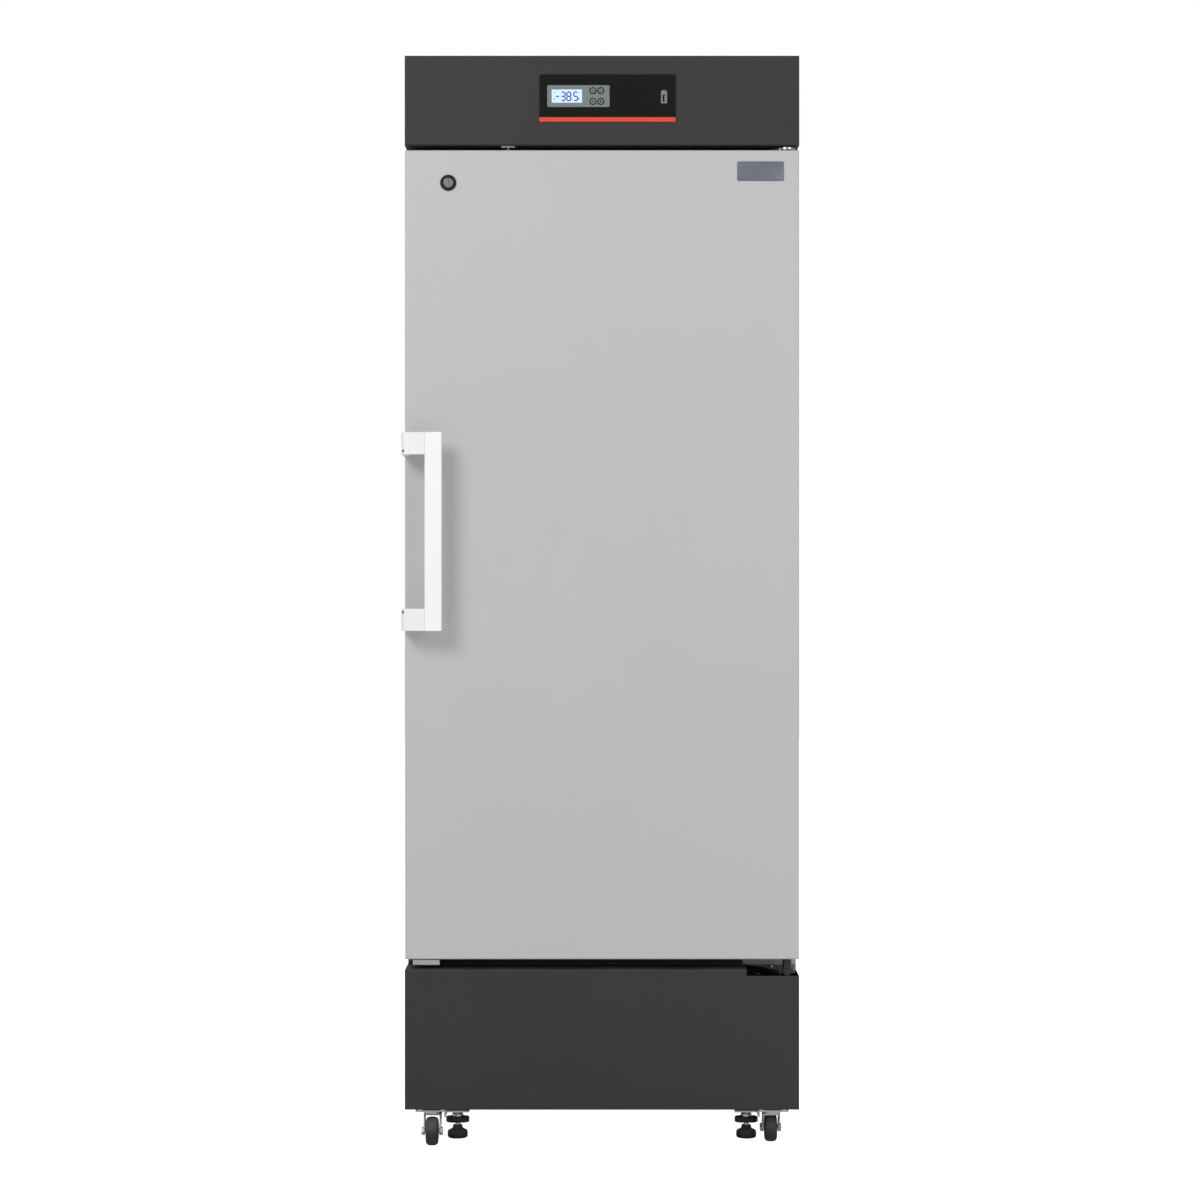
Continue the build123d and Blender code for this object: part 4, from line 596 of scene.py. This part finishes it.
display_x = (window_low[0] + window_high[0]) / 2
display_z = (window_low[2] + window_high[2]) / 2
figure_width, figure_height, figure_stroke = 0.0066, 0.0150, 0.0022
marks = []
for key, dx in (("-", -0.0165), ("3", -0.0065), ("8", 0.0035), ("5", 0.0155)):
    marks += figure(key, display_x + dx, display_z - 0.0005, figure_width, figure_height, figure_stroke)
marks.append(square(display_x + 0.0088, display_z - 0.0075, display_x + 0.0104, display_z - 0.0059))
for dx in (-0.0215, 0.0212):
    for dz in (0.0062, -0.0050):
        marks += ring_outlines(display_x + dx, display_z + dz, 0.0008, 0.0013, 12)
plates("display_figures", marks, window_low[1], PRINT_DEPTH, "cabinet", display_ink)

# A ring and a plain mark printed on each of the four buttons
button_ring = (0.0041, 0.0058)
for number in range(1, 5):
    low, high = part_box("button_%d" % number)
    x, z = (low[0] + high[0]) / 2, (low[2] + high[2]) / 2
    printed = ring_outlines(x, z, *button_ring, 40)
    if number in (1, 3):
        up = 1 if number == 1 else -1
        printed.append([(x - 0.0019, z - up * 0.0012), (x + 0.0019, z - up * 0.0012), (x, z + up * 0.0019)])
    elif number == 2:
        printed += ring_outlines(x, z, 0.0012, 0.0019, 24)
    else:
        printed.append(square(x - 0.0016, z - 0.0016, x + 0.0016, z + 0.0016))
    plates("button_%d_print" % number, printed, low[1], PRINT_DEPTH, "button_%d" % number, print_dark)

# Lock: a dark ring round the plug
plug_reach = 0.008
lock_x, lock_z = plug_low[0] + plug_reach, (plug_low[2] + plug_high[2]) / 2
plates("lock_ring", ring_outlines(lock_x, lock_z, 0.0084, 0.0108, 56), lock_front, 0.0001, "door",
       shadow_black)

# Hinge screws and the nut under the lower pin
pin_x, pin_y = 0.325, -0.314
hinge_leaf_y, hinge_columns = -0.262, (0.277, 0.312)
lower_plate_under, lower_plate_top = 0.305, 0.311
hinge_bolt, hinge_bolt_height = 0.0055, 0.0032
screws("lower_hinge_nut", [(pin_x, pin_y, lower_plate_under)], UNDER, 0.0075, 0.005, "cabinet", bright_steel,
       "zinc_plate", 0.6, 16)
screws("lower_hinge_screws", [(x, hinge_leaf_y, z) for x in hinge_columns for z in (0.272, 0.291)], FRONT,
       hinge_bolt, hinge_bolt_height, "cabinet", bright_steel, "zinc_plate")
screws("lower_hinge_top_screws", [(0.300, -0.290, lower_plate_top), (0.3275, -0.292, lower_plate_top)],
       (0, 0, 0), 0.0045, 0.003, "cabinet", bright_steel, "zinc_plate")
screws("upper_hinge_screws", [(x, hinge_leaf_y, z) for x in hinge_columns for z in (1.768, 1.786)], FRONT,
       hinge_bolt, hinge_bolt_height, "cabinet", bright_steel, "zinc_plate")

# Black strips of painted shade that darken the gaps under and over the door
for name, strip_z in (("sill_strip", (0.3128, 0.3305)), ("head_strip", (1.7478, 1.7556))):
    bevelled(name, (-0.3438, -0.2622, strip_z[0]), (0.2500, -0.2592, strip_z[1]), 0.0006, "cabinet",
             black_moulding)

# Handle: one dark screw on the outer corner of each foot, and two bright ones on its side
handle_corner_x, handle_corner_y, handle_side_x = -0.3440, -0.3802, -0.3474
for place, (low, high) in (("lower", (0.9065, 0.945)), ("upper", (1.212, 1.2505))):
    screw_z = high - 0.006 if place == "lower" else low + 0.006
    screws("handle_screw_" + place, [(handle_corner_x, handle_corner_y, screw_z)],
           (math.pi / 2, 0, -math.pi / 4), 0.0026, 0.0008, "door", black_enamel, "black_paint")
    screws("handle_side_screws_" + place, [(handle_side_x, y, (low + high) / 2) for y in (-0.305, -0.322)],
           LEFT, 0.0032, 0.0006, "door", bright_steel, "zinc_plate")

# Rows of screws that hold the back, the slotted cover, the roof's skirt and the inlet
sheet_screw, sheet_screw_height = 0.0042, 0.0011
rows = [(x, back_y, 0.34 + k * 0.176) for x in (-0.322, 0.322) for k in range(9)]
rows += [(-0.322 + k * 0.161, back_y, z) for z in (0.33, 1.745) for k in range(1, 4)]
cover = [(x, back_y, z) for x in (-0.336, 0.336) for z in (0.078, 0.19, 0.302)]
cover += [(x, back_y, 0.309) for x in (-0.17, 0.0, 0.17)]
skirt = [(x, back_y, 1.80) for x in (-0.30, -0.1, 0.1, 0.30)]
for name, points in (("back_screws", rows), ("cover_screws", cover)):
    screws(name, points, BACK, sheet_screw, sheet_screw_height, "cabinet", bright_steel, "zinc_plate")
screws("inlet_screws", [(-0.3045, back_y, 0.118), (-0.2655, back_y, 0.118)], BACK, 0.0024, 0.0010, "cabinet",
       black_enamel, "black_paint", 0.5, 4)
screws("roof_skirt_screws", skirt, BACK, sheet_screw, sheet_screw_height, "cabinet", bright_steel,
       "zinc_plate")

# Fine fins between the condenser's plates
cond_low, cond_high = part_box("condenser")
fin_count, fin_step, fin_thickness = 72, 0.004, 0.0003
grown("condenser_fins", STACKS, [(cond_low[0] + 0.0155, (cond_low[1] + cond_high[1]) / 2,
                                  (cond_low[2] + cond_high[2]) / 2)], "cabinet", fin_metal, "fin_aluminium",
      Count=fin_count, Step=(fin_step, 0.0, 0.0),
      Size=(fin_thickness, cond_high[1] - cond_low[1] - 0.004, cond_high[2] - cond_low[2] - 0.006))

# Casters: a turned tread on a plain hub, and two rivets through the mounting plate.
# Half of the wheel's profile, from the bore outwards: (radius, inset from the wheel's side).
HUB_HALF = [(0.0041, 0.0), (0.0085, 0.0), (0.0090, 0.0012), (0.0150, 0.0022), (0.0172, 0.0006),
            (0.0205, 0.0004), (0.0234, 0.0022)]
rivet_reach, rivet_z = 0.020, 0.0632
for corner in CORNERS:
    node = "caster_wheel_" + corner
    low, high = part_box(node)
    centre = [(low[k] + high[k]) / 2 for k in range(3)]
    half, radius = (high[0] - low[0]) / 2, (high[2] - low[2]) / 2
    side_profile = HUB_HALF + [(radius - 0.0004, 0.0052), (radius, 0.0085)]
    profile = [(r, -half + inset) for r, inset in side_profile]
    profile += [(r, half - inset) for r, inset in side_profile[::-1]]
    profile.append(profile[0])
    wheel = turned("tread_" + corner, profile, centre, (1, 0, 0), node, tread_rubber, "caster_tread",
                   steps=64, bands=((0, 4, black_moulding), (13, 18, black_moulding)))
    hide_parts(node)
    fork_low, fork_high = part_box("caster_fork_" + corner)
    rivet_y = (-0.291 if "front" in corner else 0.334) - 0.028
    screws("caster_rivet_" + corner,
           [((fork_low[0] + fork_high[0]) / 2 + dx, rivet_y, rivet_z) for dx in (-rivet_reach, rivet_reach)],
           (0, 0, 0), 0.0050, 0.0035, "cabinet", bright_steel, "zinc_plate")

# Levelling feet: a rubber cup, a black wing, and a threaded stud with its nut
ball, socket_floor, stud_radius = 0.0060, 0.01306, 0.0046
thread_z, thread_pitch, thread_turns, thread_steps = 0.0380, 0.0015, 18, 14
WING_LEVELS = ((0.0270, 0.93), (0.0280, 1.0), (0.0360, 1.0), (0.0370, 0.93))
wing_steps, wing_hub, wing_reach, wing_half_width = 48, 0.0100, 0.0108, 0.0115
for side in SIDES:
    pad, screw = "foot_pad_" + side, "foot_screw_" + side
    low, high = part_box(pad)
    x, y = (low[0] + high[0]) / 2, (low[1] + high[1]) / 2
    r = (high[0] - low[0]) / 2
    cup = turned("cup_" + side,
                 [(0, 0), (r - 0.0018, 0), (r - 0.0004, 0.0012), (r, 0.0030), (r, 0.0095),
                  (r - 0.0012, 0.0122), (0.0125, 0.0142), (0.0092, 0.0165), (0.0084, high[2] - 0.0008),
                  (0.0078, high[2]), (0.00605, high[2]), (0.00605, 0.01302), (0, 0.01302)],
                 (x, y, 0), (0, 0, 1), pad, tread_rubber, "foot_rubber", steps=56)
    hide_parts(pad)
    stud_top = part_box(screw)[1][2]
    stud = turned("stud_" + side,
                  [(0, socket_floor), (ball, socket_floor), (ball, 0.0220), (stud_radius, 0.0222),
                   (stud_radius, stud_top - 0.001), (0.0038, stud_top), (0, stud_top)],
                  (x, y, 0), (0, 0, 1), screw, bright_steel, "zinc_plate", steps=32)
    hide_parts(screw)
    turns = [(x + stud_radius * math.cos(2 * math.pi * k / thread_steps),
              y + stud_radius * math.sin(2 * math.pi * k / thread_steps),
              thread_z + thread_pitch * k / thread_steps) for k in range(thread_steps * thread_turns)]
    points, edges = lines_of([turns])
    grown("thread_" + side, WIRES, points, screw, bright_steel, "zinc_plate", edges=edges, Wire_Radius=0.0004)
    screws("jam_nut_" + side, [(x, y, thread_z)], (0, 0, 0), 0.0098, 0.0040, screw, bright_steel,
           "zinc_plate", 0.52, 24)
    wing = bmesh.new()
    ring = []
    for k in range(wing_steps):
        a = 2 * math.pi * k / wing_steps
        reach = wing_hub + wing_reach * abs(math.cos(a)) ** 3
        ring.append((reach * math.cos(a),
                     min(max(reach * math.sin(a), -wing_half_width), wing_half_width)))
    loops = [[wing.verts.new((x + px * s, y + py * s, z)) for px, py in ring] for z, s in WING_LEVELS]
    for lower, upper in zip(loops, loops[1:]):
        for k in range(wing_steps):
            n = (k + 1) % wing_steps
            wing.faces.new((lower[k], lower[n], upper[n], upper[k]))
    wing.faces.new(loops[0][::-1])
    wing.faces.new(loops[-1])
    mesh = bpy.data.meshes.new("wing_" + side)
    wing.to_mesh(mesh)
    wing.free()
    mesh.materials.append(black_moulding)
    settle(bpy.data.objects.new("wing_" + side, mesh), screw)

# Camera, lamps and stage
camera_data = bpy.data.cameras.new("camera")
camera_data.lens, camera_data.sensor_width = 72.0, 36.0
camera_data.clip_end = 50.0
camera_reach = 4.2
camera = bpy.data.objects.new("camera", camera_data)
camera.location, camera.rotation_euler = (-0.0035, -0.334 - camera_reach, 0.960), (math.pi / 2, 0, 0)
scene.collection.objects.link(camera)
scene.camera = camera


def lamp(name, place, target, size, power):
    """A soft square lamp that looks at a point."""
    data = bpy.data.lights.new(name, "AREA")
    data.size, data.energy = size, power
    light = bpy.data.objects.new(name, data)
    light.location = place
    light.rotation_euler = (Vector(target) - Vector(place)).to_track_quat("-Z", "Y").to_euler()
    scene.collection.objects.link(light)


lamp("key_lamp", (-2.2, -3.6, 3.4), (0.0, -0.2, 1.1), 1.6, 84.0)
lamp("fill_lamp", (2.6, -3.2, 2.0), (0.0, -0.2, 0.9), 2.4, 36.0)
lamp("rear_lamp", (0.6, 3.4, 2.8), (0.0, 0.2, 0.9), 2.4, 60.0)

world = bpy.data.worlds.new("studio")
scene.world = world
world.use_nodes = True
sky = world.node_tree
surroundings = sky.nodes["Background"]
surroundings.inputs["Color"].default_value = (1, 1, 1, 1)
surroundings.inputs["Strength"].default_value = 0.46
seen = put(sky, "ShaderNodeBackground", [("Color", (1, 1, 1, 1)), ("Strength", 1.0)])
rays = put(sky, "ShaderNodeLightPath")
blend = put(sky, "ShaderNodeMixShader", [(0, rays.outputs["Is Camera Ray"]), (1, surroundings.outputs[0]),
                                         (2, seen.outputs[0])])
sky.links.new(blend.outputs[0], sky.nodes["World Output"].inputs["Surface"])

floor_paint = bpy.data.materials.new("floor_paint")
floor_paint.use_nodes = True
floor_tree = floor_paint.node_tree
floor_shader = floor_tree.nodes["Principled BSDF"]
floor_shader.inputs["Base Color"].default_value = (0.86, 0.86, 0.86, 1)
floor_shader.inputs["Roughness"].default_value = 0.9
floor_rays = put(floor_tree, "ShaderNodeLightPath")
floor_glow = put(floor_tree, "ShaderNodeMath", [(0, floor_rays.outputs["Is Camera Ray"]), (1, 1.0)],
                 operation="MULTIPLY")
floor_shader.inputs["Emission Color"].default_value = (1, 1, 1, 1)
floor_tree.links.new(floor_glow.outputs[0], floor_shader.inputs["Emission Strength"])
floor_mesh = bpy.data.meshes.new("floor")
reach = 12
floor_mesh.from_pydata([(-reach, -reach, 0), (reach, -reach, 0), (reach, reach, 0), (-reach, reach, 0)], [],
                       [(0, 1, 2, 3)])
floor_mesh.materials.append(floor_paint)
floor = bpy.data.objects.new("floor", floor_mesh)
scene.collection.objects.link(floor)

scene.view_settings.view_transform = "Standard"
